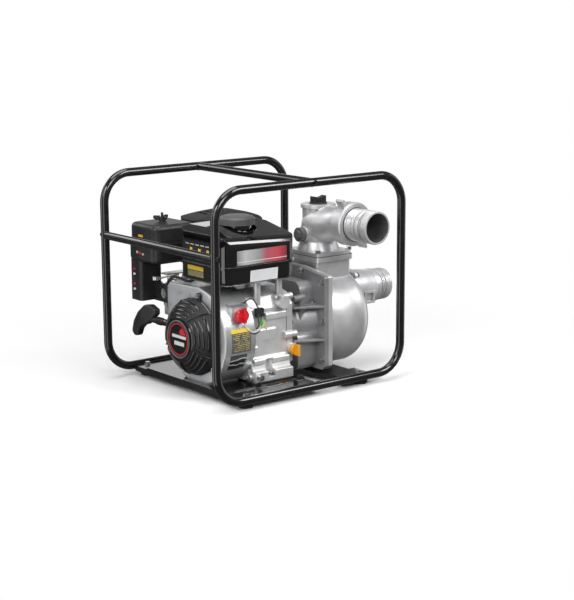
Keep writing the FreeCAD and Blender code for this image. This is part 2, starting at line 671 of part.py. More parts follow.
def pull_handle():
    """Crescent grip in the plane of the rope, its neck, and the rope."""
    grip = yz_round([(y, z) for y, z, _ in GRIP], ROPE_X - GRIP_T, ROPE_X + GRIP_T,
                    [r for _, _, r in GRIP])
    grip = round_edges(grip, 6.0, lambda e: e.BoundBox.XLength < 1e-4)
    neck = fuse(on_rope(72, 130, 8.0), on_rope(84, 88, 9.5), on_rope(94, 98, 9.5))
    add("pull_handle", fuse(grip, cut(neck, on_rope(60, 100, 3.0))))
    add("starter_rope", on_rope(CRANK_Y + 58, 100, 2.9))


# ---------------------------------------------------------------- fuel tank
# planes leading the roof down to the near edge: slope in Y, Y of reference, drop there
TANK_FACETS = ((0.199, -136, 0.0), (0.50, -130, -1.2), (0.95, -136, 1.8), (1.7, -141, 6.55),
               (3.2, -144, 11.65))


def tank_halves(inset):
    """Upper and lower tank bodies, drawn in by inset."""
    x0, x1 = TANK_X[0] + inset, TANK_X[1] - inset
    y0, y1 = TANK_Y[0] + inset, TANK_Y[1] - inset
    z0, seam = TANK_BOT + inset, TANK_SEAM
    radius = 30 - inset
    upper = round_box(x0, x1, y0, y1, seam, TANK_TOP + 20, radius)
    for slope, at_y, drop in TANK_FACETS:
        facet = [(x, y, 361 - inset - drop + slope * (y - at_y) + 0.0505 * (17 - x))
                 for x, y in ((-400, -400), (400, -400), (400, 400), (-400, 400))]
        upper = upper.common(face(facet).extrude(Vec(0, 0, -900)))
    # roof lines above the seam, (x, z) then (y, z)
    roof_x = [(x0 - 5, 374), (x0 + 24, 387), (-40, 390), (x1 - 14, 387), (x1 + 5, 381)]
    roof_y = [(y0 - 5, 362), (y0 + 8, 370), (-92, 383), (-10, 390), (y1 - 20, 388),
              (y1 + 5, 376)]
    for roof, prism in ((roof_x, xz_prism), (roof_y, yz_prism)):
        outline = [(roof[0][0], seam - 5), *[(along, z - inset) for along, z in roof],
                   (roof[-1][0], seam - 5)]
        upper = upper.common(prism(outline, -300, 300))
    lower = round_box(x0 + 2, x1 - 2, y0 + 2, y1 - 2, z0, seam, radius - 2, 0, 12 - inset)
    return upper, lower


def fuel_tank():
    def at_cap(z, radius, length):
        return cyl((CAP_X, CAP_Y, z), Z, radius, length)

    upper, lower = tank_halves(0)
    upper = round_edges(upper, 9, lambda e: e.BoundBox.ZMin > 345)
    seam = round_box(TANK_X[0] - 4, TANK_X[1] + 4, TANK_Y[0] - 4, TANK_Y[1] + 4,
                     TANK_SEAM - 2.5, TANK_SEAM + 2.5, 33)
    outside = fuse(upper, lower, seam)
    tank = cut(outside, *tank_halves(2), at_cap(WELL_Z, WELL_R, 60))
    well = cut(at_cap(WELL_Z - 2, WELL_R + 2, 60), at_cap(WELL_Z, WELL_R, 60)).common(outside)
    tank = fuse(tank, well, at_cap(345, NECK_R, CAP_TOP - 9 - 345))
    tank = cut(tank, at_cap(340, NECK_R - 3, 100), cyl((-170, 5, TANK_BOT - 5), Z, 4.0, 12))
    add("fuel_tank", tank)
    for x, y in ((-70, -104), (-7, -104), (-90, 12), (-12, 8)):
        bolt("engine_bolts", (x, y, TANK_BOT + 2.0), Z, ["fuel_tank", "crankcase"], depth=16)


def fuel_cap():
    skirt_z = CAP_TOP - 21
    inner_r = NECK_R + 0.08
    outline = [(0.001, CAP_TOP), (30, CAP_TOP - 1), (38, CAP_TOP - 4), (41, CAP_TOP - 7),
               (41, skirt_z), (inner_r, skirt_z), (inner_r, CAP_TOP - 8.5),
               (0.001, CAP_TOP - 8.5)]
    axis = (CAP_X, CAP_Y, 0)
    cap = face([(CAP_X + r, CAP_Y, z) for r, z in outline]).revolve(Vec(*axis), Z, 360)
    knurl = cyl((CAP_X + 42.2, CAP_Y, skirt_z - 1), Z, 1.6, 18)
    cap = cut(cap, *copies(knurl, range(0, 360, 9), axis, Z))
    add("fuel_cap", fuse(cap, cyl((CAP_X, CAP_Y, CAP_TOP - 30), Z, 12, 25)))


# ---------------------------------------------------------------- air cleaner
def at_air(z, radius, length):
    return cyl((AIR_MID_X, AIR_MID_Y, z), Z, radius, length)


def air_cleaner_base():
    """Bowl with a stud, and the duct down to the carburettor."""
    (x0, x1), (y0, y1) = AIR_X, AIR_Y
    bowl = round_box(x0 - 3, x1 + 2, y0 - 3, y1 + 4, AIR_Z0, AIR_SEAM - 8, 20, 0, 10)
    bowl = fuse(bowl, round_box(x0, x1, y0, y1, AIR_SEAM - 10, AIR_SEAM, 18))
    bowl = cut(bowl, round_box(x0 + 1, x1 - 2, y0 + 1, y1, AIR_Z0 + 4, AIR_SEAM + 5, 16))
    duct = round_box(x0, -152, 158, 205, 190, AIR_Z0 + 3, 8)
    duct = fuse(duct, box(-172, -166, 104, 165, 188, 232),
                box(-172, -152, 157.5, 175, 190, 230))
    duct = cut(duct, round_box(x0 + 3, -155, 161, 202, 193, AIR_Z0 + 10, 5),
               cyl((-175, CARB_Y, CARB_Z), X, 14, 12), box(-165.5, -155, 152, 170, 195, 225))
    stud = at_air(AIR_Z0 + 2, 3.0, AIR_Z1 + 22 - AIR_Z0 - 2)
    seat = cut(at_air(AIR_Z0 + 2, 30, 8), at_air(AIR_Z0, 22, 5))
    add("air_cleaner_base", fuse(bowl, duct, stud, seat))


def air_filter_element():
    element = cut(at_air(AIR_Z0 + 10, 44, AIR_Z1 - AIR_Z0 - 20), at_air(AIR_Z0 + 8, 26, 100))
    pleat = cyl((AIR_MID_X + 45, AIR_MID_Y, AIR_Z0 + 16), Z, 2.2, AIR_Z1 - AIR_Z0 - 32)
    pleats = copies(pleat, range(0, 360, 10), (AIR_MID_X, AIR_MID_Y, 0), Z)
    add("air_filter_element", cut(element, *pleats))


def air_cleaner_cover():
    (x0, x1), (y0, y1) = AIR_X, AIR_Y
    cover = round_box(x0, x1, y0, y1, AIR_SEAM, AIR_Z1, 18, 11)
    cover = cut(cover, round_box(x0 + 2.5, x1 - 2.5, y0 + 2.5, y1 - 2.5, AIR_SEAM - 5,
                                 AIR_Z1 - 2.5, 15.5, 8))
    cover = fuse(cover, cut(at_air(AIR_Z1 - 4, 12, 5), at_air(AIR_Z1 - 10, 5, 20)))
    add("air_cleaner_cover", cut(cover, at_air(AIR_Z1 - 10, 3.5, 20)))


def air_cleaner_wing_nut():
    x, y = AIR_MID_X, AIR_MID_Y
    wing = fuse(box(x + 5, x + 17, y - 2, y + 2, AIR_Z1 + 4, AIR_Z1 + 15),
                cyl((x + 17, y - 2, AIR_Z1 + 11), Y, 4.5, 4))
    nut = fuse(at_air(AIR_Z1 + 1, 7.5, 11), *copies(wing, (20, 140, 260), (x, y, 0), Z))
    add("air_cleaner_wing_nut", cut(nut, at_air(AIR_Z1 - 5, 3.05, 40)))


# ---------------------------------------------------------------- carburettor and controls
HOSE_ROUTE = [(-170, 5, 259), (-170.5, 14, 254.5), (-172, 44, 254.3), (-175, 82, 253.8),
              (-177, 95, 244), (-177, 97.5, 205), (-175, 99.5, 184), (-168, 108, 174),
              (-159.5, 117.4, 170)]


def carburettor():
    """Body with float bowl and flanges, and the insulator block behind it."""
    x, y, z = CARB_X, CARB_Y, CARB_Z
    carb = fuse(cyl((-166, y, z), X, 19, 52), box(-166, -160, y - 26, y + 26, z - 18, z + 18),
                box(-120, -114, y - 26, y + 26, z - 18, z + 18),
                box(-152, -126, y - 17, y + 17, z - 26, z + 22),
                cyl((x, y, z - 30), Z, 24, 8), cyl((x, y, z - 52), Z, 22, 24),
                cyl((x, y, z - 55), Z, 6, 4), cyl((CHOKE_X, y, z + 20), Z, 6, 10),
                cyl((THROTTLE_X, y, z + 20), Z, 5, 7))
    carb = cut(carb, cyl((-170, y, z), X, 12, 60), cyl((x, y, z - 49), Z, 19, 18),
               cyl((CHOKE_X, y, z - 20), Z, 2.55, 60),
               cyl((THROTTLE_X, y, z - 20), Z, 2.55, 60))
    # boss for the fuel valve
    carb = cut(fuse(carb, cyl((x, y - 25.9, z - 24), Y, 10, 12)),
               cyl((x, y - 27, z - 24), Y, 4.05, 6.5))
    insulator = cut(box(-114, -104.2, y - 24, y + 24, z - 18, z + 18),
                    cyl((-120, y, z), X, 11, 30))
    add("carburettor", carb, insulator)


def control_levers():
    y, z = CARB_Y, CARB_Z
    add("choke_lever", fuse(
        cyl((CHOKE_X, y, z - 14), Z, 2.5, 50), cyl((CHOKE_X, y, z + 31), Z, 6, 5),
        box(CHOKE_X - 3, CHOKE_X + 3, y - 40, y, z + 32, z + 35),
        cyl((CHOKE_X, y - 40, z + 32), Z, 6, 9)))
    throttle = fuse(
        cyl((THROTTLE_X, y, z - 14), Z, 2.5, 58), cyl((THROTTLE_X, y, z + 38.5), Z, 6, 5),
        box(-205, THROTTLE_X + 2, y - 3.5, y + 3.5, z + 39.5, z + 42.5),
        cyl((-205, y, z + 39.5), Z, 8, 8))
    add("throttle_lever", turned(throttle, 15, (THROTTLE_X, y, 0), Z))
    bracket = fuse(box(-122, -104, 88, 92, 236, 262), box(-186, -104, 88, 96, 259, 262),
                   box(-186, -120, 92, 116, 259, 262))
    add("control_bracket", cut(bracket, cyl((-116, 80, 250), Y, 3, 20)))


def fuel_line():
    x, y, z = CARB_X, CARB_Y, CARB_Z
    valve = fuse(cyl((x, y - 38, z - 24), Y, 8, 12), cyl((x, y - 26, z - 24), Y, 4, 5))
    handle = box(x - 3, x + 3, y - 38, y - 32, z - 54, z - 24)
    add("fuel_valve_lever", fuse(valve, handle))
    add("fuel_hose", fuse(cyl((-170, 5, 256), Z, 3.2, 12), pipe(HOSE_ROUTE, 3.2)))


# ---------------------------------------------------------------- exhaust
# arches of the heat guard, (x, z) and (y, z), with corner radii
GUARD_X = [(-100, 310), (-100, 369), (-82, 378), (-40, 387), (8, 392), (56, 387), (92, 374),
           (126, 352), (126, 310)]
GUARD_X_RADII = [0, 14, 60, 200, 90, 120, 120, 30, 0]
GUARD_Y = [(84, 310), (84, 368), (104, 383), (128, 393), (160, 393), (178, 383), (200, 364),
           (200, 310)]
GUARD_Y_RADII = [0, 14, 40, 40, 40, 40, 14, 0]


def outlet(start, radius, length):
    """Cylinder on the muffler outlet axis, starting this far past the +X end."""
    return cyl((MUFFLER_X[1] + start, 150, 330), X, radius, length)


def muffler():
    x0, x1 = MUFFLER_X
    _, y, z = head_point(CYL_X + 50, PORT_Y, DECK + PORT_Z)

    def stub(radius):
        """Out along the crank, one quarter bend, then up into the muffler."""
        bend = Part.makeTorus(20, radius, Vec(8, y, z + 20), Y).common(
            box(8, 60, y - 30, y + 30, z - 30, z + 20))
        return fuse(cyl((-3.8, y, z), X, radius, 11.8), bend,
                    cyl((28, y, z + 20), Z, radius, 302 - z - 20))

    body = round_box(x0, x1, 104, 176, 300, 360, 26)
    body = round_edges(body, 10, lambda e: e.BoundBox.ZMin > 359 or e.BoundBox.ZMax < 301)
    body = cut(body, round_box(x0 + 2, x1 - 2, 106, 174, 302, 358, 24, 8.5, 8.5))
    bore = fuse(stub(11), cyl((-9, y, z), X, 11, 8), cyl((28, y, 301), Z, 11, 8))
    flange = cyl((-3.8, y, z), X, 22, 5)
    body = fuse(body, stub(13), flange, outlet(-4, 11, 46))
    add("muffler", cut(body, bore, outlet(-8, 9, 58)))


def guard_dome(inset):
    """Rounded box under two crossed arches, drawn in by inset; the inner one runs lower."""
    def lowered(arch):
        return [(along, z - (inset if z > 320 else 0)) for along, z in arch]

    x0, x1, y0, y1 = GUARD_BOX
    dome = round_box(x0 + inset, x1 - inset, y0 + inset, y1 - inset, 308 if inset else 318,
                     420, 30 - inset)
    dome = dome.common(xz_round(lowered(GUARD_X), -300, 500, GUARD_X_RADII))
    return dome.common(yz_round(lowered(GUARD_Y), -400, 500, GUARD_Y_RADII))


def muffler_guard():
    guard = cut(guard_dome(0), guard_dome(1.6))
    side_x, top_x = GUARD_BOX[0] + 34, -46
    slots = [box(side_x + 17 * k, side_x + 8 + 17 * k, 80, 200, 330, 352) for k in range(9)]
    slots += [box(top_x + 16 * k, top_x + 7 + 16 * k, 124, 160, 372, 425) for k in range(8)]
    guard = cut(guard, outlet(-8, 13, 68), *slots)
    tabs = [box(20, 36, 95.0, 103.9, 336, 339), box(20, 36, 176.1, 189.0, 336, 339)]
    add("muffler_guard", fuse(guard, *tabs))


# ---------------------------------------------------------------- ignition and wiring
WIRE_ROUTES = [
    [(-128, -130.6, 176), (-124, -134, 166), (-108, -137, 156), (-92, -136, 160),
     (-84, -128, 176), (-80, -122.5, 190)],
    [(-136, -130.6, 175), (-130, -137, 160), (-112, -141, 148), (-92, -140, 152),
     (-78, -130, 168), (-72, -123, 182)],
    [(-126, -126.5, 216), (-112, -128, 226), (-96, -124, 222), (-84, -122, 206),
     (-76, -122, 196)]]


def spark_plug():
    plug = fuse(deck_cyl(*PLUG, 6, Z, 5.95, 37),
                hexagon((CYL_X + PLUG[0], PLUG[1], DECK + 42), Z, 20, 9),
                deck_cyl(*PLUG, 50, Z, 6, 22), deck_cyl(*PLUG, 72, Z, 3, 6))
    add("spark_plug", from_head(plug))
    boot = fuse(deck_cyl(*PLUG, 52, Z, 11, 34), deck_cyl(*PLUG, 80, Y, 8, 24))
    boot = cut(boot, deck_cyl(*PLUG, 50, Z, 6.05, 29))
    x, y, z = head_point(CYL_X + PLUG[0], PLUG[1] + 22, DECK + 80)
    lead = pipe([(x, y, z), (x - 6, y - 6, z - 20), (-94, 132, 108), (-108, 108, 122),
                 (-114, 91, 144)], 3.2)
    add("spark_plug_cap", fuse(from_head(boot), lead))


def engine_switch():
    def at_switch(y, radius, length):
        return cyl((SWITCH_X, y, SWITCH_Z), Y, radius, length)

    body = fuse(round_edges(box(-162, -120, -132, -104, 174, 214), 5, along_y),
                at_switch(-134, 17, 4))
    body = cut(body, on_crank(FAN_X[0], FAN_R, 90), at_switch(-140, 4.05, 18))
    add("engine_switch_body", body)
    wedge = xz_prism([(-158, 184), (-141, 178), (-135, 186), (-150, 200)], -148, -136)
    add("engine_switch_knob", fuse(at_switch(-148, 15, 13.8), at_switch(-140, 4.0, 12),
                                   box(-145, -137, -154, -146, 178, 212), wedge))
    carve("fan_housing", at_switch(-142, 4.4, 22))


def wiring():
    """Three wires and their connector block, clear of the fan housing and crankcase."""
    parts = [pipe(route, 1.6) for route in WIRE_ROUTES]
    parts.append(round_edges(box(-88, -66, -125, -117.2, 180, 200), 3, along_y))
    for obstacle in (on_crank(FAN_X[0], FAN_R, 90), pieces["crankcase"][0]):
        parts = [cut(part, obstacle) for part in parts]
    connector = parts[-1]
    add("wiring", *[cut(wire, connector) for wire in parts[:-1]], connector)


# ---------------------------------------------------------------- oil
def oil_fittings():
    """Dipstick cap in the filler, and one plug low on each side of the crankcase."""
    x, y, z = FILLER_X, OIL_CAP_Y, FILLER_Z
    add("oil_dipstick", fuse(
        cyl((x, y, z), -Y, 13.5, 7), cyl((x, -131, z), -Y, 11, 3),
        box(x - 3, x + 3, -146, -130, z - 13, z + 13),
        cyl((x, y, z), Y, 9.95, 16), cyl((x, -110, z), Y, 3, 24)))
    for plug_y, side in ((-142, -1), (86, 1)):
        bolt("engine_bolts", (-92, plug_y, 43), Vec(0, side, 0), ["crankcase"],
             radius=5, depth=12, flats=13, head=7, washer=8.5)


# ---------------------------------------------------------------- pump: adapter and casing
QUARTERS = (45, 135, 225, 315)
FLANGE_BOLTS = ((-136, 52), (-138, 146), (-136, 238), (80, 52), (82, 146), (80, 238),
                (-60, 258), (4, 258))


def pump_adapter():
    """Flange plate and ribbed bell between the engine and the pump."""
    apex = (54, CRANK_Y, CRANK_Z)
    bell = fuse(on_crank(31, 70, 26), cone(apex, X, 70, 92, 46),
                round_edges(box(44, 100, -112, 56, 31, 120), 16, along_x),
                round_edges(box(60, 100, -100, 44, 120, 238), 22, along_x))
    for side in (-1, 1):
        for z in (103, 183):
            rib = [(31, 52), (31, 84), (99, 115), (99, 70)]
            bell = fuse(bell, xy_prism([(x, CRANK_Y + side * reach) for x, reach in rib],
                                       z - 2.5, z + 2.5))
    adapter = fuse(yz_round(FLANGE, *ADAPTER_X, 6), bell,
                   rod_between((31, -110, 205), (66, -104, 205), 7.0))
    adapter = cut(adapter, on_crank(30, 62, 28), cone(apex, X, 62, 84, 38),
                  round_edges(box(50, 92, -106, 50, 37, 110), 12, along_x),
                  on_crank(80, 13.5, 60))
    bolt_pad = cut(on_crank(31, 66, 8), on_crank(30, 40, 12))
    add("pump_adapter", fuse(adapter, bolt_pad))
    for angle in QUARTERS:
        bolt("pump_bolts", ring_point(39, 50, -angle), X, ["pump_adapter", "crankcase_cover"],
             radius=3.5, depth=22, flats=12, head=6, washer=8)


def drum(x0, x1, radius, fillet):
    """Drum on the crank axis with its +X rim rounded."""
    def spot(x, r):
        return Vec(x, CRANK_Y + r, CRANK_Z)

    inner = radius - fillet
    corners = [spot(x0, 0), spot(x0, radius), spot(x1 - fillet, radius), spot(x1, inner),
               spot(x1, 0)]
    middle = spot(x1 - fillet + fillet * math.sin(math.pi / 4),
                  inner + fillet * math.cos(math.pi / 4))
    outline = Part.Wire([Part.makeLine(corners[0], corners[1]),
                         Part.makeLine(corners[1], corners[2]),
                         Part.Arc(corners[2], middle, corners[3]).toShape(),
                         Part.makeLine(corners[3], corners[4]),
                         Part.makeLine(corners[4], corners[0])])
    return Part.Face(outline).revolve(spot(0, 0), X, 360)


def neck_box(grow_x, grow_y, z0, z1, radius):
    """Rounded box round the neck, grown on each side."""
    return round_box(NECK_X[0] - grow_x, NECK_X[1] + grow_x, NECK_Y[0] - grow_y,
                     NECK_Y[1] + grow_y, z0, z1, radius)


def pump_casing():
    foot_y = [CRANK_Y + offset for offset in (-24, 24)]
    casing = fuse(yz_round(FLANGE, CASING_X, CASING_X + 12, 6),
                  drum(CASING_X + 2, DRUM_END, DRUM_R, DRUM_FILLET),
                  neck_box(0, 0, 190, 277, 8), neck_box(4, 6, 276, NECK_TOP, 10),
                  cyl((244, CRANK_Y, DRAIN_Z), X, 15, 18),
                  *[cyl((150, y, PUMP_PLATE_TOP), Z, 10, 30) for y in foot_y])
    casing = cut(casing,
                 drum(CASING_X - 1, DRUM_END - WALL, DRUM_R - WALL, DRUM_FILLET - WALL),
                 neck_box(-WALL, -WALL, 195, 278, 6), cyl((DIS_X, DIS_Y, 270), Z, 44, 30),
                 cyl((235, CRANK_Y, SUC_Z), X, 34, 30),
                 cyl((240, CRANK_Y, DRAIN_Z), X, 8.05, 30))
    add("pump_casing", casing)
    for y in foot_y:
        bolt("frame_bolts", (150, y, PUMP_PLATE_TOP - PLATE_T), -Z,
             ["pump_base_plate", "pump_casing"])
    # the gasket is the flange outline shrunk a little towards (CRANK_Y, 148)
    outline = [(y * 0.985 + CRANK_Y * 0.015, z * 0.985 + 148 * 0.015) for y, z in FLANGE]
    add("gaskets", cut(yz_prism(outline, ADAPTER_X[1], CASING_X),
                       on_crank(ADAPTER_X[1] - 1, 108, 4)))
    for y, z in FLANGE_BOLTS:
        bolt("pump_bolts", (ADAPTER_X[0], y, z), -X,
             ["pump_adapter", "gaskets", "pump_casing"],
             radius=3.5, depth=21, flats=12, head=6, washer=8)


def impeller():
    """Disc with four curved vanes, and the shaft nut."""
    wheel = fuse(on_crank(116, 62, 4), on_crank(114.2, 17, 22))
    outer = [ring_point(0, 18 + k * 6.4, -13 * k)[1:] for k in range(7)]
    shift = math.radians(60)
    inner = [(y + 3.5 * math.cos(shift), z - 3.5 * math.sin(shift))
             for y, z in reversed(outer)]
    vane = yz_prism(outer + inner, 119.5, 140).common(on_crank(119, 61.5, 24))
    for turned_vane in copies(vane, (0, 90, 180, 270)):
        wheel = fuse(wheel, turned_vane)
    nut = cut(hexagon((136.2, CRANK_Y, CRANK_Z), X, 16, 5), on_crank(130, NOSE_R, 20))
    add("impeller", cut(wheel, on_crank(110, NOSE_R, 40)), nut)


def seal_and_volute():
    add("mechanical_seal", cut(on_crank(108.2, 19, 5.9), on_crank(100, NOSE_R, 20)))
    start = CASING_X
    volute = fuse(on_crank(start - 0.8, 84, 37),
                  crank_box(start + 14, start + 36, -78, -40, 0, 92))
    volute = volute.common(on_crank(100, 108, 60))
    add("volute", cut(volute, on_crank(100, 66, 43), on_crank(130, 33, 40),
                      crank_box(start + 17, start + 33, -74, -44, 10, 100)))


def check_valve():
    """Flap inside the suction opening; its pin, hangers and seat belong to the casing."""
    y, pin_x, pin_z = CRANK_Y, 235.5, SUC_Z + 42
    flap = fuse(cyl((234.8, y, SUC_Z), X, 37, 5.0), cyl((228, y, SUC_Z), X, 12, 8),
                cyl((pin_x, y - 18, pin_z), Y, 4.5, 36),
                box(234.8, 239.8, y - 18, y + 18, SUC_Z + 25, pin_z))
    add("check_valve_flap", cut(flap, cyl((pin_x, y - 40, pin_z), Y, 2.55, 80)))
    hangers = fuse(cyl((pin_x, y - 24, pin_z), Y, 2.5, 48),
                   box(232.5, 250, y - 24, y - 19, pin_z - 5, pin_z + 6),
                   box(232.5, 250, y + 19, y + 24, pin_z - 5, pin_z + 6))
    seat = cut(cyl((240, y, SUC_Z), X, 41, 10), cyl((238, y, SUC_Z), X, 34, 20))
    seat = cut(seat, box(239, 246, y - 20, y + 20, pin_z - 7, pin_z + 10))
    pieces["pump_casing"] = [fuse(pieces["pump_casing"][0], hangers, seat)]


# ---------------------------------------------------------------- pump: discharge
def riser(z, radius, length):
    """Cylinder on the upright axis of the discharge elbow."""
    return cyl((DIS_X, DIS_Y, z), Z, radius, length)


def side_cyl(x, radius, length):
    """Cylinder on the side plug axis, X from the riser."""
    return cyl((DIS_X + x, DIS_Y, SIDE_PLUG_Z), X, radius, length)


def branch_loft(stations):
    """Loft through circles facing Y, given as (y, z, radius)."""
    wires = [Part.Wire(Part.makeCircle(r, Vec(DIS_X, y, z), Y)) for y, z, r in stations]
    return Part.makeLoft(wires, True, False)


def discharge_elbow():
    """Riser on the casing neck with a branch towards -Y."""
    add("gaskets", cut(neck_box(3, 5, NECK_TOP, ELBOW_Z, 9), riser(NECK_TOP - 1, 45, 4)))
    body = fuse(neck_box(2, 4, ELBOW_Z, ELBOW_Z + 9, 12),
                cone((DIS_X, DIS_Y, ELBOW_Z + 8), Z, 52, 44, 22), riser(ELBOW_Z + 29, 44, 30),
                cone((DIS_X, DIS_Y, ELBOW_Z + 58), Z, 44, 38, 14), riser(350, 38, 52),
                riser(399, 42, 9))
    branch = branch_loft([(-10, 356, 38), (-28, 358, 44), (-70, 363, 44),
                          (-122, DIS_Z, 42.5)])
    elbow = fuse(body, branch, cyl((DIS_X, -150, DIS_Z), Y, 44.0, 30))
    passage = fuse(riser(ELBOW_Z - 1, 38, 70),
                   branch_loft([(-28, 358, 36), (-70, 364, 37), (-122, DIS_Z, 36),
                                (-151, DIS_Z, 36)]),
                   riser(350, 30.0, 46), riser(390, 19.05, 30),
                   Part.makeSphere(36.0, Vec(DIS_X, DIS_Y, 358)))
    elbow = cut(elbow, passage)
    side_boss = cut(side_cyl(-49, 18, 14), riser(315, 42, 46))
    add("discharge_elbow", fuse(elbow, side_boss))
    for x in (NECK_X[0] + 5, NECK_X[1] - 5):
        for y in (NECK_Y[0] + 3, NECK_Y[1] - 3):
            bolt("pump_bolts", (x, y, ELBOW_Z + 9), Z,
                 ["discharge_elbow", "gaskets", "pump_casing"],
                 radius=3.5, depth=20, flats=12, head=6)


def side_plug():
    """Plug on the engine side of the elbow."""
    plug = fuse(side_cyl(-62, 17, 12.8), hexagon((DIS_X - 68, DIS_Y, SIDE_PLUG_Z), X, 20, 7))
    add("side_plug", fuse(plug, side_cyl(-50, 8.0, 9)))
    carve("discharge_elbow", side_cyl(-56, 8.05, 24))


def priming_cap():
    """Round cap with a grooved, hollow-topped grip."""
    cap = fuse(riser(408.2, 21.5, 2.5), riser(388, 19.0, 22),
               round_box(DIS_X - 20, DIS_X + 20, DIS_Y - 8, DIS_Y + 8, 409, 426, 3))
    grooves = []
    for x in range(-15, 16, 5):
        for y in (-8, 8):
            grooves.append(box(DIS_X + x - 1, DIS_X + x + 1, DIS_Y + y - 1, DIS_Y + y + 1,
                               411.5, 440))
    add("priming_cap", cut(cap, cyl((DIS_X, DIS_Y - 12, 462), Y, 39.5, 24),
                           riser(386, 15, 20), *grooves))


def hose_tail(base, end, flange_r, flange_t, land):
    """(distance, radius) outline from the flange to the open end, with shallow rings."""
    root = TAIL_R - 1.0
    points = [(base, TAIL_BORE), (base, flange_r), (base + flange_t, flange_r),
              (base + flange_t, root)]
    at = base + flange_t + 10
    while at < end - land - 7:
        points += [(at, root), (at + 1.0, TAIL_R + 0.6), (at + 2.0, TAIL_R + 0.6),
                   (at + 5.5, root)]
        at += 7.0
    return points + [(end - land - 1.0, root), (end - land, TAIL_R), (end, TAIL_R),
                     (end, TAIL_BORE)]


def discharge_coupling():
    tail = hose_tail(150.2, DIS_LENGTH, 43.5, 5.0, 20.0)
    add("discharge_coupling", revolve_discharge([(-at, r) for at, r in tail]))
    nut = revolve_discharge([(-132, 44.1), (-132, 49), (-134, 51.5), (-162, 51.5),
                             (-165, 49), (-165, 40.0), (-155.6, 40.0), (-155.6, 44.1)])
    lug = fuse(box(DIS_X - 4, DIS_X + 4, -162, -138, DIS_Z + 49, DIS_Z + 66),
               cyl((DIS_X, -162, DIS_Z + 66), Y, 4, 24),
               box(DIS_X - 8, DIS_X + 8, -162, -138, DIS_Z + 49, DIS_Z + 53))
    lug = cut(lug, cyl((DIS_X, -170, DIS_Z), Y, 48, 40))
    add("discharge_ring_nut", fuse(nut, *copies(lug, (-32, 148), (DIS_X, 0, DIS_Z), Y)))


# ---------------------------------------------------------------- pump: suction and drain
# (x, radius)
SUCTION_NECK = [(255.2, 38), (255.2, 56), (263, 56), (263, 46.5), (300, 45), (334, 41),
                (342, 42), (342, 34), (300, 37)]
SUCTION_BOLT_R = 54


def suction():
    ear = cyl((255.2, CRANK_Y, SUC_Z + SUCTION_BOLT_R), X, 9, 8)
    flange = fuse(revolve_x(SUCTION_NECK, SUC_Z),
                  *copies(ear, QUARTERS, (0, CRANK_Y, SUC_Z)))
    # square pad with a recess on the near side of the neck
    pad = cut(box(286, 318, -76, CRANK_Y, SUC_Z - 34, SUC_Z - 4),
              box(291, 313, -80, -70, SUC_Z - 29, SUC_Z - 9),
              cyl((280, CRANK_Y, SUC_Z), X, 40, 60))
    add("suction_flange", fuse(flange, pad))
    for angle in QUARTERS:
        bolt("pump_bolts", ring_point(263.2, SUCTION_BOLT_R, angle, SUC_Z), X,
             ["suction_flange", "pump_casing"],
             radius=3.5, depth=13, flats=11, head=6, washer=7)
    add("suction_coupling", revolve_x(hose_tail(342.2, SUC_END, 41.5, 6.0, 16.0), SUC_Z))


def drain_plug():
    add("drain_plug", fuse(cyl((262.2, CRANK_Y, DRAIN_Z), X, 14, 3),
                           hexagon((265, CRANK_Y, DRAIN_Z), X, 17, 9),
                           cyl((246, CRANK_Y, DRAIN_Z), X, 8.0, 18)))


# ---------------------------------------------------------------- build and write
# in this order, because bolts drill pieces that already exist
for build in (side_frames, crossbars, base_plates, rubber_mounts, crankcase, crankcase_cover,
              cylinder_head, valve_cover, crankshaft, crank_bearings, flywheel, piston,
              connecting_rod, fan_housing, recoil_cover, recoil_reel, pull_handle, fuel_tank,
              fuel_cap, air_cleaner_base, air_filter_element, air_cleaner_cover,
              air_cleaner_wing_nut, carburettor, control_levers, fuel_line, muffler,
              muffler_guard, spark_plug, engine_switch, wiring, oil_fittings, pump_adapter,
              pump_casing, impeller, seal_and_volute, check_valve, discharge_elbow, side_plug,
              priming_cap, discharge_coupling, suction, drain_plug):
    build()

for name, shapes in pieces.items():
    # slivers left by the cuts are dropped
    solids = [solid for shape in shapes for solid in shape.Solids if solid.Volume > 1.0]
    result = solids[0] if len(solids) == 1 else Part.makeCompound(solids)
    result = result.copy()
    result.translate(-ORIGIN)
    result.exportStep("parts/" + name + ".step")
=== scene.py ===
"""Engine-driven pump in a tube frame: finishes, small added parts, lights and camera.

The recoil cover faces -X and the suction coupling +X. The discharge coupling and the near
side of the frame face -Y. Places are in millimetres from the middle of the tube frame, with
z = 0 on the floor; place() turns them into metres in the row frame.
"""
import json
import math
import bmesh
import bpy
from mathutils import Matrix, Vector


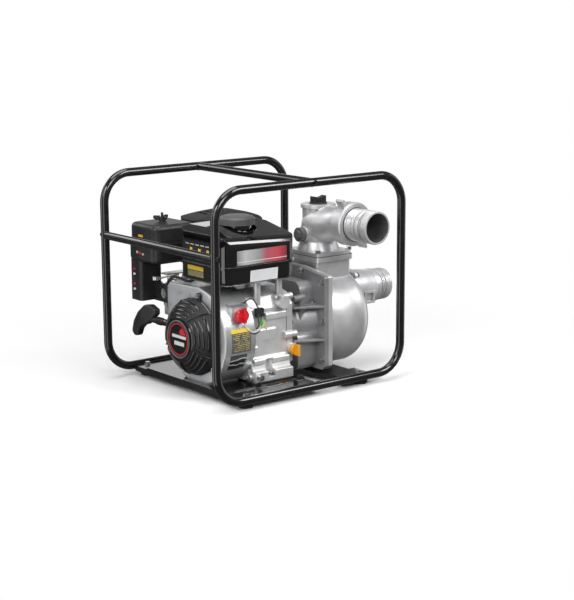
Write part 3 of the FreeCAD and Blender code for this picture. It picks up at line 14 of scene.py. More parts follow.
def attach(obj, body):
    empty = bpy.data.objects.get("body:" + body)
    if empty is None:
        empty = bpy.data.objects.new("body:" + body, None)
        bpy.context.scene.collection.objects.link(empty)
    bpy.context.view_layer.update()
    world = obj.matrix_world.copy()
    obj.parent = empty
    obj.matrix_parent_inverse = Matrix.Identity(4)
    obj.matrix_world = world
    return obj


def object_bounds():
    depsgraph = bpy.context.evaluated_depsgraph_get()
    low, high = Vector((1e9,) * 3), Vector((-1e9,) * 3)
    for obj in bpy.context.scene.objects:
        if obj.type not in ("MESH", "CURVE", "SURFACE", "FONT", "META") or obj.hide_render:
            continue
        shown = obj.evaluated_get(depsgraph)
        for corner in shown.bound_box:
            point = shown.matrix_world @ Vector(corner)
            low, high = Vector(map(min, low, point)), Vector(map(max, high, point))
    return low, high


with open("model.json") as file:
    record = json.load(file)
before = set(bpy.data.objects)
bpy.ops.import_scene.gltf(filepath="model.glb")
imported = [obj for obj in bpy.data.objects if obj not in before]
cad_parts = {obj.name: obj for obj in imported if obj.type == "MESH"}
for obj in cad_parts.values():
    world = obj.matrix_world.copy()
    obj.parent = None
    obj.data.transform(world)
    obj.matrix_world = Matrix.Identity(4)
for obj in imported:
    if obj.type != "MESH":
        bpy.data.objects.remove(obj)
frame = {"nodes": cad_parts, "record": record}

ROOT = "engine_pump_and_frame"
MM = 0.001
cad_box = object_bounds()
nodes = frame["nodes"]
scene = bpy.context.scene

# from the middle of the whole box to the middle of the tube frame, metres
FRAME_SHIFT_X = -0.0525
FRAME_SHIFT_Y = 0.003
FRAME_MIDDLE = Vector((
    (cad_box[0][0] + cad_box[1][0]) / 2 + FRAME_SHIFT_X,
    (cad_box[0][1] + cad_box[1][1]) / 2 + FRAME_SHIFT_Y,
    0.0,
))

# axis of the recoil cover and fan housing, along X
AXIS_Y = -28.0
AXIS_Z = 134.0
# axis of the discharge coupling, along Y
DISCHARGE_X = 176.0
DISCHARGE_Z = 372.0
# height of the suction coupling, whose axis runs along X at AXIS_Y
SUCTION_Z = 188.0


def place(x, y, z):
    """Millimetres from the middle of the tube frame to metres in the row frame."""
    return Vector((x, y, z)) * MM + FRAME_MIDDLE


# ------------------------------------------------------------------ node trees
PALETTE = {}  # finish name -> material, filled by Surface


class Graph:
    """Writes a node tree. Inputs take sockets, numbers or RGB colours."""

    def __init__(self, owner, output_kind):
        owner.use_nodes = True
        self.tree = owner.node_tree
        self.tree.nodes.clear()
        self.surface = self.node(output_kind).inputs["Surface"]

    def node(self, kind, inputs=None, **settings):
        node = self.tree.nodes.new(kind)
        for setting, value in settings.items():
            setattr(node, setting, value)
        for key, value in (inputs or {}).items():
            self.feed(node.inputs[key], value)
        return node

    def feed(self, socket, value):
        if isinstance(value, bpy.types.NodeSocket):
            self.tree.links.new(value, socket)
        else:
            socket.default_value = (*value, 1.0) if socket.type == "RGBA" else value

    def separate(self, vector):
        return self.node("ShaderNodeSeparateXYZ", {0: vector}).outputs

    def remap(self, value, span, to=(0.0, 1.0), **settings):
        """Map the range span of value onto the range to."""
        inputs = {"Value": value, "From Min": span[0], "From Max": span[1],
                  "To Min": to[0], "To Max": to[1]}
        return self.node("ShaderNodeMapRange", inputs, **settings).outputs["Result"]

    def ramp(self, value, stops):
        """Colour ramp; stops are (position, colour) in rising order."""
        node = self.node("ShaderNodeValToRGB", {"Fac": value})
        elements = node.color_ramp.elements
        elements.remove(elements[1])
        elements[0].position = stops[0][0]
        for position, _ in stops[1:]:
            elements.new(position)
        for element, (_, colour) in zip(elements, stops):
            element.color = (*colour, 1.0)
        return node.outputs["Color"]

    def mix_shaders(self, first, second, factor):
        return self.node("ShaderNodeMixShader", {0: factor, 1: first, 2: second}).outputs[0]


class Surface(Graph):
    """A Principled material, entered in PALETTE under its name."""

    def __init__(self, name):
        PALETTE[name] = bpy.data.materials.new(name)
        super().__init__(PALETTE[name], "ShaderNodeOutputMaterial")
        self.bsdf = self.node("ShaderNodeBsdfPrincipled")
        self.feed(self.surface, self.bsdf.outputs["BSDF"])
        self.coordinates = self.node("ShaderNodeTexCoord").outputs

    def set(self, **inputs):
        """Feed Principled inputs, written with underscores for spaces."""
        for name, value in inputs.items():
            self.feed(self.bsdf.inputs[name.replace("_", " ")], value)

    # textures
    def scaled(self, scale):
        inputs = {"Vector": self.coordinates["Object"], "Scale": scale}
        return self.node("ShaderNodeMapping", inputs).outputs["Vector"]

    def noise(self, scale, detail=4, rough=0.6, vector=None):
        inputs = {"Scale": scale, "Detail": detail, "Roughness": rough,
                  "Vector": vector or self.coordinates["Object"]}
        return self.node("ShaderNodeTexNoise", inputs).outputs["Fac"]

    def cells(self, scale):
        inputs = {"Scale": scale, "Vector": self.coordinates["Object"]}
        return self.node("ShaderNodeTexVoronoi", inputs).outputs["Distance"]

    def wave(self, scale, distortion=0.0, vector=None, **settings):
        inputs = {"Scale": scale, "Distortion": distortion,
                  "Vector": vector or self.coordinates["Object"]}
        return self.node("ShaderNodeTexWave", inputs, **settings).outputs["Fac"]

    def diagonal_wave(self, scale, **options):
        return self.wave(scale, wave_type="BANDS", bands_direction="DIAGONAL", **options)

    # arithmetic
    def math(self, operation, first, *others, clamp=False):
        """Chain of two-input math nodes; only the last one may clamp."""
        result = first
        for i, value in enumerate(others, 1):
            node = self.node("ShaderNodeMath", {0: result, 1: value}, operation=operation,
                             use_clamp=clamp and i == len(others))
            result = node.outputs["Value"]
        return result

    def multiply(self, *values, clamp=False):
        return self.math("MULTIPLY", *values, clamp=clamp)

    def add(self, *values, clamp=False):
        return self.math("ADD", *values, clamp=clamp)

    def mix(self, first, second, factor):
        inputs = {6: first, 7: second, 0: factor}
        return self.node("ShaderNodeMix", inputs, data_type="RGBA").outputs[2]

    def fade(self, value, span, peak=1.0):
        """Grey ramp from black to peak over span."""
        return self.ramp(value, [(span[0], (0, 0, 0)), (span[1], (peak, peak, peak))])

    def band(self, value, low, high):
        """1 between low and high, else 0."""
        return self.multiply(self.math("GREATER_THAN", value, low),
                             self.math("LESS_THAN", value, high))

    def stripes(self, value, count, duty):
        """count stripes over 0..1, each filling the share duty of its pitch."""
        scaled = self.multiply(value, count)
        fraction = self.node("ShaderNodeMath", {0: scaled}, operation="FRACT")
        return self.math("LESS_THAN", fraction.outputs["Value"], duty)

    # relief and wear
    def bump(self, height, strength, distance, over=None):
        inputs = {"Height": height, "Strength": strength, "Distance": distance}
        if over is not None:
            inputs["Normal"] = over
        return self.node("ShaderNodeBump", inputs).outputs["Normal"]

    def crevice(self, distance, power):
        """Rises towards 1 in corners, from ambient occlusion."""
        occlusion = self.node("ShaderNodeAmbientOcclusion", {"Distance": distance}, samples=6)
        hidden = self.math("SUBTRACT", 1.0, occlusion.outputs["AO"], clamp=True)
        return self.math("POWER", hidden, power)

    def edge(self, radius):
        """Mask that is 0 on flats and rises to 1 at sharp edges, and the rounded normal."""
        rounded = self.node("ShaderNodeBevel", {"Radius": radius}, samples=4).outputs["Normal"]
        normal = self.node("ShaderNodeNewGeometry").outputs["Normal"]
        agreement = self.node("ShaderNodeVectorMath", {0: rounded, 1: normal},
                              operation="DOT_PRODUCT").outputs["Value"]
        return self.remap(agreement, span=(0.99, 0.80)), rounded

    def top_dust(self, slope, scale, rough, full):
        """Specks on faces whose normal rises past slope; specks are solid at noise full."""
        normal = self.node("ShaderNodeNewGeometry").outputs["Normal"]
        upward = self.remap(self.separate(normal)["Z"], span=(slope, 1.0))
        specks = self.fade(self.noise(scale=scale, rough=rough), span=(0.50, full))
        return self.multiply(upward, specks)


def shade(colour, gain, lift=0.0):
    """Brighter or darker colour, held at 1."""
    return tuple(min(1.0, channel * gain + lift) for channel in colour)


# ------------------------------------------------------------------ material kinds
def gloss_paint(name, base, rough, coat, peel, dust, wear, peel_scale=260.0, soft_edges=True):
    """Gloss enamel: orange peel, faint dust on top faces, rubbed edges."""
    mat = Surface(name)
    patches = mat.noise(scale=9.0)
    colour = mat.mix(base, shade(base, gain=1.9, lift=0.001),
                     mat.fade(patches, span=(0.35, 0.75)))
    specks = mat.top_dust(slope=0.35, scale=420.0, rough=0.7, full=0.72)
    dusty = mat.multiply(specks, dust)
    colour = mat.mix(colour, (0.26, 0.25, 0.235), dusty)
    edges, rounded = mat.edge(radius=0.0009)
    scratches = mat.fade(mat.noise(scale=70.0, detail=5, rough=0.65), span=(0.52, 0.66))
    worn = mat.multiply(edges, scratches, wear, clamp=True)
    roughness = mat.add(
        mat.remap(patches, span=(0.3, 0.7), to=(-0.03, 0.06)), rough,
        mat.multiply(dusty, 0.5), mat.multiply(worn, 0.25), clamp=True)
    normal = mat.bump(mat.noise(scale=peel_scale, detail=2, rough=0.4), strength=peel,
                      distance=0.00012, over=rounded if soft_edges else None)
    if soft_edges:
        normal = mat.bump(mat.noise(scale=900.0, detail=2, rough=0.5), strength=0.04,
                          distance=0.00004, over=normal)
    mat.set(Base_Color=mat.mix(colour, (0.20, 0.20, 0.20), worn), Metallic=0.0,
            Roughness=roughness, IOR=1.5, Coat_Weight=coat, Coat_Roughness=0.04,
            Coat_IOR=1.55, Normal=normal, Coat_Normal=normal)


def cast_metal(name, base, rough, grain, grime_and_shade, metallic, scale):
    """Cast alloy: fine skin, soft lumps, brighter rubbed edges, painted shade in the corners,
    blotchy and made rougher there like grime.
    """
    mat = Surface(name)
    lumps = mat.noise(scale=14.0, detail=5)
    blotches = mat.noise(scale=90.0)
    skin = mat.noise(scale=scale, rough=0.7)
    colour = mat.mix(shade(base, gain=0.80), shade(base, gain=1.10),
                     mat.fade(lumps, span=(0.32, 0.68)))
    colour = mat.mix(colour, shade(base, gain=0.72),
                     mat.fade(blotches, span=(0.62, 0.82), peak=0.55))
    # painted shade: the corners are darkened towards near black from ambient occlusion, varied
    # by the blotches and made rougher like grime
    crevice_shade = mat.multiply(
        mat.crevice(distance=0.016, power=1.35),
        mat.remap(blotches, span=(0.3, 0.7), to=(0.75, 1.35)), grime_and_shade, clamp=True)
    colour = mat.mix(colour, (0.055, 0.053, 0.05), crevice_shade)
    edges, rounded = mat.edge(radius=0.0014)
    rubbed = mat.multiply(edges, mat.remap(blotches, span=(0.40, 0.62), to=(0.0, 0.65)),
                          clamp=True)
    roughness = mat.add(
        mat.remap(skin, span=(0.3, 0.7), to=(rough - 0.07, rough + 0.10)),
        mat.multiply(crevice_shade, 0.30))
    roughness = mat.math("SUBTRACT", roughness, mat.multiply(rubbed, 0.12), clamp=True)
    normal = mat.bump(lumps, strength=0.35, distance=0.0012, over=rounded)
    normal = mat.bump(skin, strength=grain, distance=0.00035, over=normal)
    normal = mat.bump(mat.cells(scale=scale * 1.1), strength=grain * 0.5, distance=0.0002,
                      over=normal)
    mat.set(Base_Color=mat.mix(colour, (0.86, 0.86, 0.86), rubbed), Metallic=metallic,
            Roughness=roughness, Normal=normal)


def silver_paint(name, base):
    """Metallic silver paint with fine flake, soft waviness and painted shade in the corners."""
    mat = Surface(name)
    flake = mat.noise(scale=2600.0, detail=2, rough=0.5)
    waves = mat.noise(scale=7.0, detail=3, rough=0.5)
    colour = mat.mix(shade(base, gain=0.86), shade(base, gain=1.12),
                     mat.remap(flake, span=(0.35, 0.65)))
    colour = mat.mix(colour, shade(base, gain=0.80),
                     mat.fade(waves, span=(0.5, 0.8), peak=0.5))
    # painted shade: the corners are darkened from ambient occlusion
    crevice_shade = mat.multiply(mat.crevice(distance=0.012, power=1.5), 0.6, clamp=True)
    normal = mat.bump(waves, strength=0.25, distance=0.001)
    normal = mat.bump(mat.noise(scale=330.0, detail=3, rough=0.5), strength=0.12,
                      distance=0.00012, over=normal)
    mat.set(Base_Color=mat.mix(colour, (0.07, 0.068, 0.065), crevice_shade), Metallic=0.72,
            Roughness=mat.remap(mat.noise(scale=38.0), span=(0.3, 0.7), to=(0.25, 0.39)),
            Coat_Weight=0.25, Coat_Roughness=0.18, Normal=normal)


def machined(name, base, rough, axis, tint=None):
    """Turned or plated steel: fine lines stacked along one axis, a few dull patches, painted
    shade in the corners.
    """
    mat = Surface(name)
    stretch = tuple(1.0 if letter == axis else 0.04 for letter in "XYZ")
    lines = mat.noise(scale=1500.0, detail=3, vector=mat.scaled(stretch))
    patches = mat.noise(scale=55.0)
    colour = mat.mix(shade(base, gain=0.82), shade(base, gain=1.12),
                     mat.remap(lines, span=(0.35, 0.65)))
    colour = mat.mix(colour, tint or shade(base, gain=0.62),
                     mat.fade(patches, span=(0.55, 0.78), peak=0.7))
    # painted shade: the corners are darkened from ambient occlusion
    crevice_shade = mat.multiply(mat.crevice(distance=0.006, power=1.3), 0.7, clamp=True)
    roughness = mat.add(
        mat.remap(lines, span=(0.3, 0.7), to=(rough - 0.06, rough + 0.08)),
        mat.remap(patches, span=(0.5, 0.8), to=(0.0, 0.14)))
    mat.set(Base_Color=mat.mix(colour, (0.05, 0.045, 0.04), crevice_shade), Metallic=1.0,
            Roughness=roughness, Normal=mat.bump(lines, strength=0.18, distance=0.0001))


def moulded(name, base, rough, grain, scale=750.0, dust=0.18, spec=0.5, coat=0.0):
    """Moulded plastic or rubber: fine grain, soft gloss patches, pale scuffs at the edges."""
    mat = Surface(name)
    fine = mat.noise(scale=scale * 1.6, detail=3)
    patches = mat.noise(scale=18.0)
    colour = mat.mix(base, shade(base, gain=1.35, lift=0.006),
                     mat.remap(patches, span=(0.35, 0.7)))
    specks = mat.top_dust(slope=0.4, scale=300.0, rough=0.75, full=0.75)
    colour = mat.mix(colour, (0.30, 0.29, 0.27), mat.multiply(specks, dust, clamp=True))
    edges, rounded = mat.edge(radius=0.0010)
    scuffs = mat.fade(mat.noise(scale=120.0, rough=0.7), span=(0.5, 0.7), peak=0.5)
    colour = mat.mix(colour, shade(base, gain=2.2, lift=0.05),
                     mat.multiply(edges, scuffs, clamp=True))
    roughness = mat.add(
        mat.remap(fine, span=(0.3, 0.7), to=(rough - 0.05, rough + 0.07)),
        mat.remap(patches, span=(0.4, 0.7), to=(0.0, 0.08)), clamp=True)
    normal = mat.bump(mat.cells(scale=scale), strength=grain, distance=0.00018, over=rounded)
    normal = mat.bump(fine, strength=grain * 0.4, distance=0.0001, over=normal)
    mat.set(Base_Color=colour, Metallic=0.0, Roughness=roughness, Specular_IOR_Level=spec,
            Coat_Weight=coat, Coat_Roughness=0.12, Normal=normal)


def pleated_paper(name):
    mat = Surface(name)
    pleats = mat.diagonal_wave(scale=160.0, distortion=0.6)
    # painted shade: the pleat valleys are coloured darker and the ridges lighter
    colour = mat.mix((0.46, 0.36, 0.18), (0.80, 0.70, 0.46), pleats)
    stains = mat.remap(mat.noise(scale=60), span=(0.5, 0.8), to=(0.0, 0.5))
    mat.set(Base_Color=mat.mix(colour, (0.25, 0.2, 0.12), stains), Roughness=0.9,
            Normal=mat.bump(pleats, strength=0.8, distance=0.0008))


def braided(name, base):
    """Braided cord: crossed diagonal strands with a fuzzy sheen, painted shade between the
    strands.
    """
    mat = Surface(name)
    strands = mat.multiply(
        mat.diagonal_wave(scale=260.0, vector=mat.scaled((1, 1, 1))),
        mat.diagonal_wave(scale=260.0, vector=mat.scaled((-1, 1, -1))))
    # painted shade: the gaps between strands are coloured at a third of the base
    mat.set(Base_Color=mat.mix(shade(base, gain=0.35), base, strands), Roughness=0.8,
            Sheen_Weight=0.4, Normal=mat.bump(strands, strength=0.9, distance=0.0006))


def amber_plastic(name):
    """Slightly translucent amber with paler edges."""
    mat = Surface(name)
    colour = mat.mix((0.80, 0.30, 0.012), (0.95, 0.47, 0.03), mat.noise(scale=70.0))
    edges, rounded = mat.edge(radius=0.0012)
    colour = mat.mix(colour, (1.0, 0.66, 0.16), mat.multiply(edges, 0.5))
    mat.set(Base_Color=colour, Roughness=0.16, Coat_Weight=0.8, Coat_Roughness=0.05,
            Subsurface_Weight=0.35, Subsurface_Scale=0.004,
            Subsurface_Radius=(1.0, 0.45, 0.12),
            Normal=mat.bump(mat.noise(scale=500.0, detail=3, rough=0.5), strength=0.10,
                            distance=0.0001, over=rounded))


def mottled(name, low, high, rough, coat, mottle, grain, relief):
    """Plain coloured plastic; mottle and grain are noise scales, relief the bump strength."""
    mat = Surface(name)
    mat.set(Base_Color=mat.mix(low, high, mat.noise(scale=mottle, detail=3)),
            Roughness=rough, Coat_Weight=coat,
            Normal=mat.bump(mat.noise(scale=grain, detail=2, rough=0.5), strength=relief,
                            distance=0.0001))


# ------------------------------------------------------------------ finishes
gloss_paint("frame_black", (0.0035, 0.0035, 0.004), rough=0.15, coat=0.6, peel=0.05, dust=0.0,
            wear=0.04, peel_scale=90.0, soft_edges=False)
machined("zinc", (0.74, 0.74, 0.73), rough=0.22, axis="Z", tint=(0.50, 0.49, 0.44))
moulded("rubber_black", (0.018, 0.018, 0.018), rough=0.68, grain=0.5, scale=500, dust=0.25,
        spec=0.3)
cast_metal("cast_bright", (0.86, 0.86, 0.86), rough=0.34, grain=0.30, grime_and_shade=0.80,
           metallic=0.62, scale=620)
cast_metal("cast_pump", (0.78, 0.78, 0.79), rough=0.35, grain=0.40, grime_and_shade=0.62,
           metallic=0.66, scale=480)
silver_paint("shroud_silver", (0.62, 0.63, 0.64))
gloss_paint("recoil_black", (0.0022, 0.0022, 0.0026), rough=0.10, coat=0.55, peel=0.08,
            dust=0.0, wear=0.10)
gloss_paint("tank_black", (0.0022, 0.0022, 0.0026), rough=0.07, coat=1.0, peel=0.10,
            dust=0.05, wear=0.15, peel_scale=160.0)
moulded("plastic_black", (0.012, 0.012, 0.0125), rough=0.36, grain=0.22, scale=900)
moulded("plastic_grey", (0.085, 0.083, 0.082), rough=0.40, grain=0.25, scale=900)
moulded("heat_black", (0.007, 0.007, 0.0075), rough=0.50, grain=0.30, scale=600, dust=0.3)
machined("muffler_steel", (0.30, 0.28, 0.26), rough=0.42, axis="Z", tint=(0.20, 0.12, 0.07))
machined("steel_machined", (0.56, 0.56, 0.58), rough=0.20, axis="X")
cast_metal("cast_iron_grey", (0.24, 0.24, 0.245), rough=0.50, grain=0.6, grime_and_shade=0.5,
           metallic=0.7, scale=420)
moulded("red_plastic", (0.62, 0.008, 0.020), rough=0.22, grain=0.10, scale=900, dust=0.03,
        coat=0.5)
moulded("yellow_plastic", (0.90, 0.42, 0.02), rough=0.24, grain=0.10, scale=900, dust=0.03,
        coat=0.5)
pleated_paper("filter_foam")
braided("rope_cord", (0.42, 0.42, 0.40))
moulded("seal_ceramic", (0.50, 0.45, 0.40), rough=0.3, grain=0.1)
moulded("gasket_dark", (0.030, 0.030, 0.030), rough=0.75, grain=0.5, scale=600, spec=0.25)
moulded("wire_black", (0.014, 0.014, 0.015), rough=0.35, grain=0.12, scale=1200)
# darker copy of the pump alloy: painted shade for the adapter, which lies in the engine's shadow
cast_metal("cast_pump_painted_shade", (0.44, 0.44, 0.45), rough=0.40, grain=0.5, grime_and_shade=0.75,
           metallic=0.72, scale=440)
# near black alloy: painted shade inside the coupling bores
cast_metal("cast_bore_painted_shade", (0.16, 0.16, 0.165), rough=0.45, grain=0.6, grime_and_shade=0.9,
           metallic=0.4, scale=440)
amber_plastic("dipstick_amber")
mottled("emblem_red", (0.50, 0.004, 0.016), (0.66, 0.012, 0.03), rough=0.28, coat=0.6,
        mottle=160.0, grain=900.0, relief=0.08)
mottled("emblem_pale", (0.62, 0.62, 0.64), (0.80, 0.80, 0.80), rough=0.35, coat=0.4,
        mottle=220.0, grain=900.0, relief=0.08)
mottled("sleeve_green", (0.02, 0.22, 0.05), (0.05, 0.36, 0.10), rough=0.3, coat=0.3,
        mottle=300.0, grain=1200.0, relief=0.1)
mottled("sleeve_lime", (0.40, 0.55, 0.06), (0.55, 0.66, 0.10), rough=0.3, coat=0.3,
        mottle=300.0, grain=1200.0, relief=0.1)
mottled("wire_white", (0.55, 0.55, 0.53), (0.78, 0.78, 0.76), rough=0.35, coat=0.2,
        mottle=200.0, grain=1200.0, relief=0.1)


# ------------------------------------------------------------------ label finishes
# Plain blocks and lines, no lettering. Each draw function gets the surface and the 0..1
# coordinates of the label's own box, and returns the colour.
def draw_panel(mat, at):
    colour = mat.ramp(at["X"], [
        (0.0, (0.22, 0.22, 0.23)), (0.16, (0.50, 0.50, 0.51)), (0.45, (0.30, 0.29, 0.30)),
        (0.58, (0.40, 0.10, 0.12)), (0.82, (0.50, 0.06, 0.09)), (1.0, (0.22, 0.02, 0.03))])
    diagonal = mat.add(at["X"], mat.multiply(at["Z"], 0.25))
    stripes = mat.stripes(diagonal, count=26.0, duty=0.12)
    colour = mat.mix(colour, (0.62, 0.60, 0.60), mat.multiply(stripes, 0.10))
    line = mat.band(at["Z"], low=0.20, high=0.25)
    return mat.mix(colour, (0.75, 0.74, 0.73), mat.multiply(line, 0.8))


def draw_white(mat, at):
    lines = mat.multiply(mat.stripes(at["Z"], count=7.0, duty=0.16),
                         mat.band(at["X"], low=0.08, high=0.92))
    return mat.mix((0.72, 0.73, 0.74), (0.42, 0.43, 0.45), mat.multiply(lines, 0.45))


def draw_strip(mat, at):
    pale = mat.multiply(mat.band(at["Z"], low=0.70, high=0.80),
                        mat.stripes(at["Y"], count=5.0, duty=0.72))
    yellow = mat.multiply(mat.band(at["Z"], low=0.12, high=0.42),
                          mat.stripes(at["Y"], count=3.0, duty=0.30))
    colour = mat.mix((0.012, 0.012, 0.013), (0.55, 0.55, 0.55), pale)
    return mat.mix(colour, (0.85, 0.55, 0.02), yellow)


def draw_yellow(mat, at):
    header = mat.math("GREATER_THAN", at["Z"], 0.60)
    lines = mat.multiply(mat.stripes(at["Z"], count=9.0, duty=0.35),
                         mat.math("LESS_THAN", at["Z"], 0.56))
    colour = mat.mix((0.10, 0.10, 0.09), (0.90, 0.62, 0.03), header)
    return mat.mix(colour, (0.62, 0.50, 0.16), lines)


def draw_fan(mat, at):
    header = mat.math("GREATER_THAN", at["Z"], 0.84)
    block = mat.multiply(mat.band(at["Z"], low=0.06, high=0.80),
                         mat.band(at["X"], low=0.06, high=0.94))
    lines = mat.multiply(mat.stripes(at["Z"], count=13.0, duty=0.38), block)
    gaps = mat.math("GREATER_THAN", mat.noise(scale=190.0, detail=1, rough=0.5), 0.47)
    colour = mat.mix((0.10, 0.10, 0.10), (0.88, 0.66, 0.06), header)
    return mat.mix(colour, (0.55, 0.45, 0.12), mat.multiply(lines, gaps))


def draw_dark(mat, at):
    rings = mat.wave(scale=30.0, distortion=5.0, wave_type="RINGS")
    pattern = mat.multiply(mat.math("GREATER_THAN", rings, 0.86),
                           mat.band(at["Z"], low=0.15, high=0.85))
    return mat.mix((0.016, 0.016, 0.016), (0.55, 0.55, 0.52), pattern)


def label_finish(name, draw):
    mat = Surface(name)
    colour = draw(mat, mat.separate(mat.coordinates["Generated"]))
    grime_and_shade = mat.fade(mat.noise(scale=90.0, rough=0.7), span=(0.55, 0.85), peak=0.22)
    mat.set(Base_Color=mat.mix(colour, (0.30, 0.28, 0.25), grime_and_shade), Roughness=0.22,
            Coat_Weight=0.5, Coat_Roughness=0.08,
            Normal=mat.bump(mat.noise(scale=700.0, detail=2, rough=0.5), strength=0.10,
                            distance=0.0001))


for name, draw in (("label_panel", draw_panel), ("label_white", draw_white),
                   ("label_strip", draw_strip), ("label_yellow", draw_yellow),
                   ("label_fan", draw_fan), ("label_dark", draw_dark)):
    label_finish(name, draw)

# ------------------------------------------------------------------ finishes on the CAD pieces
# pieces that do not take the finish of their material slot
REPAINTED = {
    # the pump adapter takes the darker copy of the pump alloy as painted shade
    "pump_adapter": "cast_pump_painted_shade",
    "side_plug": "plastic_grey",
    "engine_switch_body": "shroud_silver",
    "oil_dipstick": "dipstick_amber",
}
slot_of = {part["node"]: part["material_slot"] for part in frame["record"]["subparts"]}
for name, piece in nodes.items():
    piece.data.materials.clear()
    piece.data.materials.append(PALETTE[REPAINTED.get(name, slot_of[name])])
    for face in piece.data.polygons:
        face.material_index = 0


def paint_bore_shade(name, axis, centre, radius=0.0375):
    """Painted shade: dark finish on faces within radius (metres) of the axis that face towards
    it.
    """
    piece = nodes[name].data
    piece.materials.append(PALETTE["cast_bore_painted_shade"])
    for face in piece.polygons:
        outward = face.center - centre
        outward[axis] = 0.0
        facing_in = outward.dot(face.normal) < -0.5 * outward.length
        if outward.length < radius and facing_in:
            face.material_index = 1


# painted shade inside the bores of both couplings
paint_bore_shade("discharge_coupling", axis=1, centre=place(DISCHARGE_X, 0, DISCHARGE_Z))
paint_bore_shade("suction_coupling", axis=0, centre=place(0, AXIS_Y, SUCTION_Z))

# the crossbar bolts, above this height in metres, are painted over with the frame
CROSSBAR_BOLT_Z = 0.25
bolts = nodes["frame_bolts"].data
bolts.materials.append(PALETTE["frame_black"])
for face in bolts.polygons:
    if face.center.z > CROSSBAR_BOLT_Z:
        face.material_index = 1

# ------------------------------------------------------------------ mesh helpers
SHARP_ANGLE = math.radians(38)
# fixes where a tube's first side vertex lies
TUBE_UP = Vector((0.123, 0.37, 0.92)).normalized()
# degrees; a hair under 360 so that the two ends of a ring do not coincide
FULL_TURN = 360 * 0.99999


def add_piece(name, verts, faces, finish, body=ROOT):
    mesh = bpy.data.meshes.new(name)
    mesh.from_pydata([tuple(vert) for vert in verts], [], faces)
    work = bmesh.new()
    work.from_mesh(mesh)
    bmesh.ops.recalc_face_normals(work, faces=work.faces)
    work.to_mesh(mesh)
    work.free()
    mesh.materials.append(PALETTE[finish])
    piece = bpy.data.objects.new(name, mesh)
    scene.collection.objects.link(piece)
    for face in mesh.polygons:
        face.use_smooth = True
    mesh.set_sharp_from_angle(angle=SHARP_ANGLE)
    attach(piece, body)


def turn(count):
    """Angles of count even steps round a circle, in radians."""
    return [2 * math.pi * i / count for i in range(count)]


def tube(name, path, radii, finish, sides, closed=False):
    """Round section swept along path; radii in mm is one number or one per point."""
    count = len(path)
    if isinstance(radii, (int, float)):
        radii = [radii] * count
    verts, faces = [], []
    side = None
    for i, point in enumerate(path):
        before = path[i - 1] if closed or i else path[0]
        after = path[(i + 1) % count] if closed or i < count - 1 else path[-1]
        along = (after - before).normalized()
        if side is None:
            side = along.cross(TUBE_UP).normalized()
        # carry the side direction on, square to the path, so the tube does not twist
        side = (side - along * side.dot(along)).normalized()
        other = along.cross(side)
        radius = radii[i] * MM
        for angle in turn(sides):
            verts.append(point + (side * math.cos(angle) + other * math.sin(angle)) * radius)
    for i in range(count if closed else count - 1):
        here, there = i * sides, (i + 1) % count * sides
        for k in range(sides):
            following = (k + 1) % sides
            faces.append((here + k, here + following, there + following, there + k))
    if not closed:
        faces.append(tuple(range(sides - 1, -1, -1)))
        faces.append(tuple((count - 1) * sides + k for k in range(sides)))
    add_piece(name, verts, faces, finish)


def slab(name, point_at, cells, heights, finish, body=ROOT):
    """Thin closed patch. point_at(u, v, height) has u, v in 0..1 and height in mm off the
    surface; heights are the underside and the top."""
    columns, rows = cells
    underside, top = heights
    verts = [point_at(i / columns, j / rows, height)
             for height in (top, underside) for j in range(rows + 1) for i in range(columns + 1)]
    under = (columns + 1) * (rows + 1)

    def index(i, j):
        return j * (columns + 1) + i

    faces = []
    for j in range(rows):
        for i in range(columns):
            near_left, near_right = index(i, j), index(i + 1, j)
            far_left, far_right = index(i, j + 1), index(i + 1, j + 1)
            faces.append((near_left, near_right, far_right, far_left))
            faces.append((under + near_left, under + far_left,
                          under + far_right, under + near_right))
    rim = [index(i, 0) for i in range(columns)]
    rim += [index(columns, j) for j in range(rows)]
    rim += [index(i, rows) for i in range(columns, 0, -1)]
    rim += [index(0, j) for j in range(rows, 0, -1)]
    for start, end in zip(rim, rim[1:] + rim[:1]):
        faces.append((start, under + start, under + end, end))
    add_piece(name, verts, faces, finish, body)


def flat(axis, plane, start, end, low, high, lean=0.0):
    """Upright rectangle facing down the axis at plane, sheared sideways by lean at the top."""
    def point_at(u, v, height):
        across = start + (end - start) * u + lean * v
        z = low + (high - low) * v
        if axis == "Y":
            return place(across, plane - height, z)
        return place(plane - height, across, z)
    return point_at


# ------------------------------------------------------------------ recoil cover: louvred face
HUB_X = -236.0  # flat face at the middle of the cover
# (radius, x) of the cover's face from the middle outwards
COVER_PROFILE = [(0.0, HUB_X), (50.0, HUB_X), (58.0, -230.0), (76.0, -216.0), (90.0, -192.0)]
GRILLE_INNER = 52
GRILLE_DEPTH = 36.5  # radial
SECTORS = 5
SECTOR_PITCH = 72  # degrees
SECTOR_SPAN = 70
FIRST_SECTOR = -22
RIB_RADII = (56.5, 64.5, 72.5, 80.5)
RIB_WIDTH = 4.6
RIB_FOOT = 0.5  # height of the underside of ribs and spokes
RIB_GAP = 5  # degrees between a rib end and its sector edge


def cover_x(radius):
    for (radius_0, x_0), (radius_1, x_1) in zip(COVER_PROFILE, COVER_PROFILE[1:]):
        if radius <= radius_1:
            return x_0 + (x_1 - x_0) * (radius - radius_0) / (radius_1 - radius_0)
    return COVER_PROFILE[-1][1]


def on_cover(radius, degrees, height):
    """Point height mm off the cover face; degrees run from +Y towards +Z."""
    step = 0.5
    rise = cover_x(radius + step) - cover_x(radius - step)
    normal = Vector((-2 * step, rise, 0)).normalized()
    lifted = radius + normal.y * height
    angle = math.radians(degrees)
    return place(cover_x(radius) + normal.x * height,
                 AXIS_Y + lifted * math.cos(angle), AXIS_Z + lifted * math.sin(angle))


def rounded_top(v, height, drop):
    """Height lowered towards both long edges; the underside stays level."""
    return height * (1 - (2 * v - 1) ** 4 * drop) if height > RIB_FOOT else height


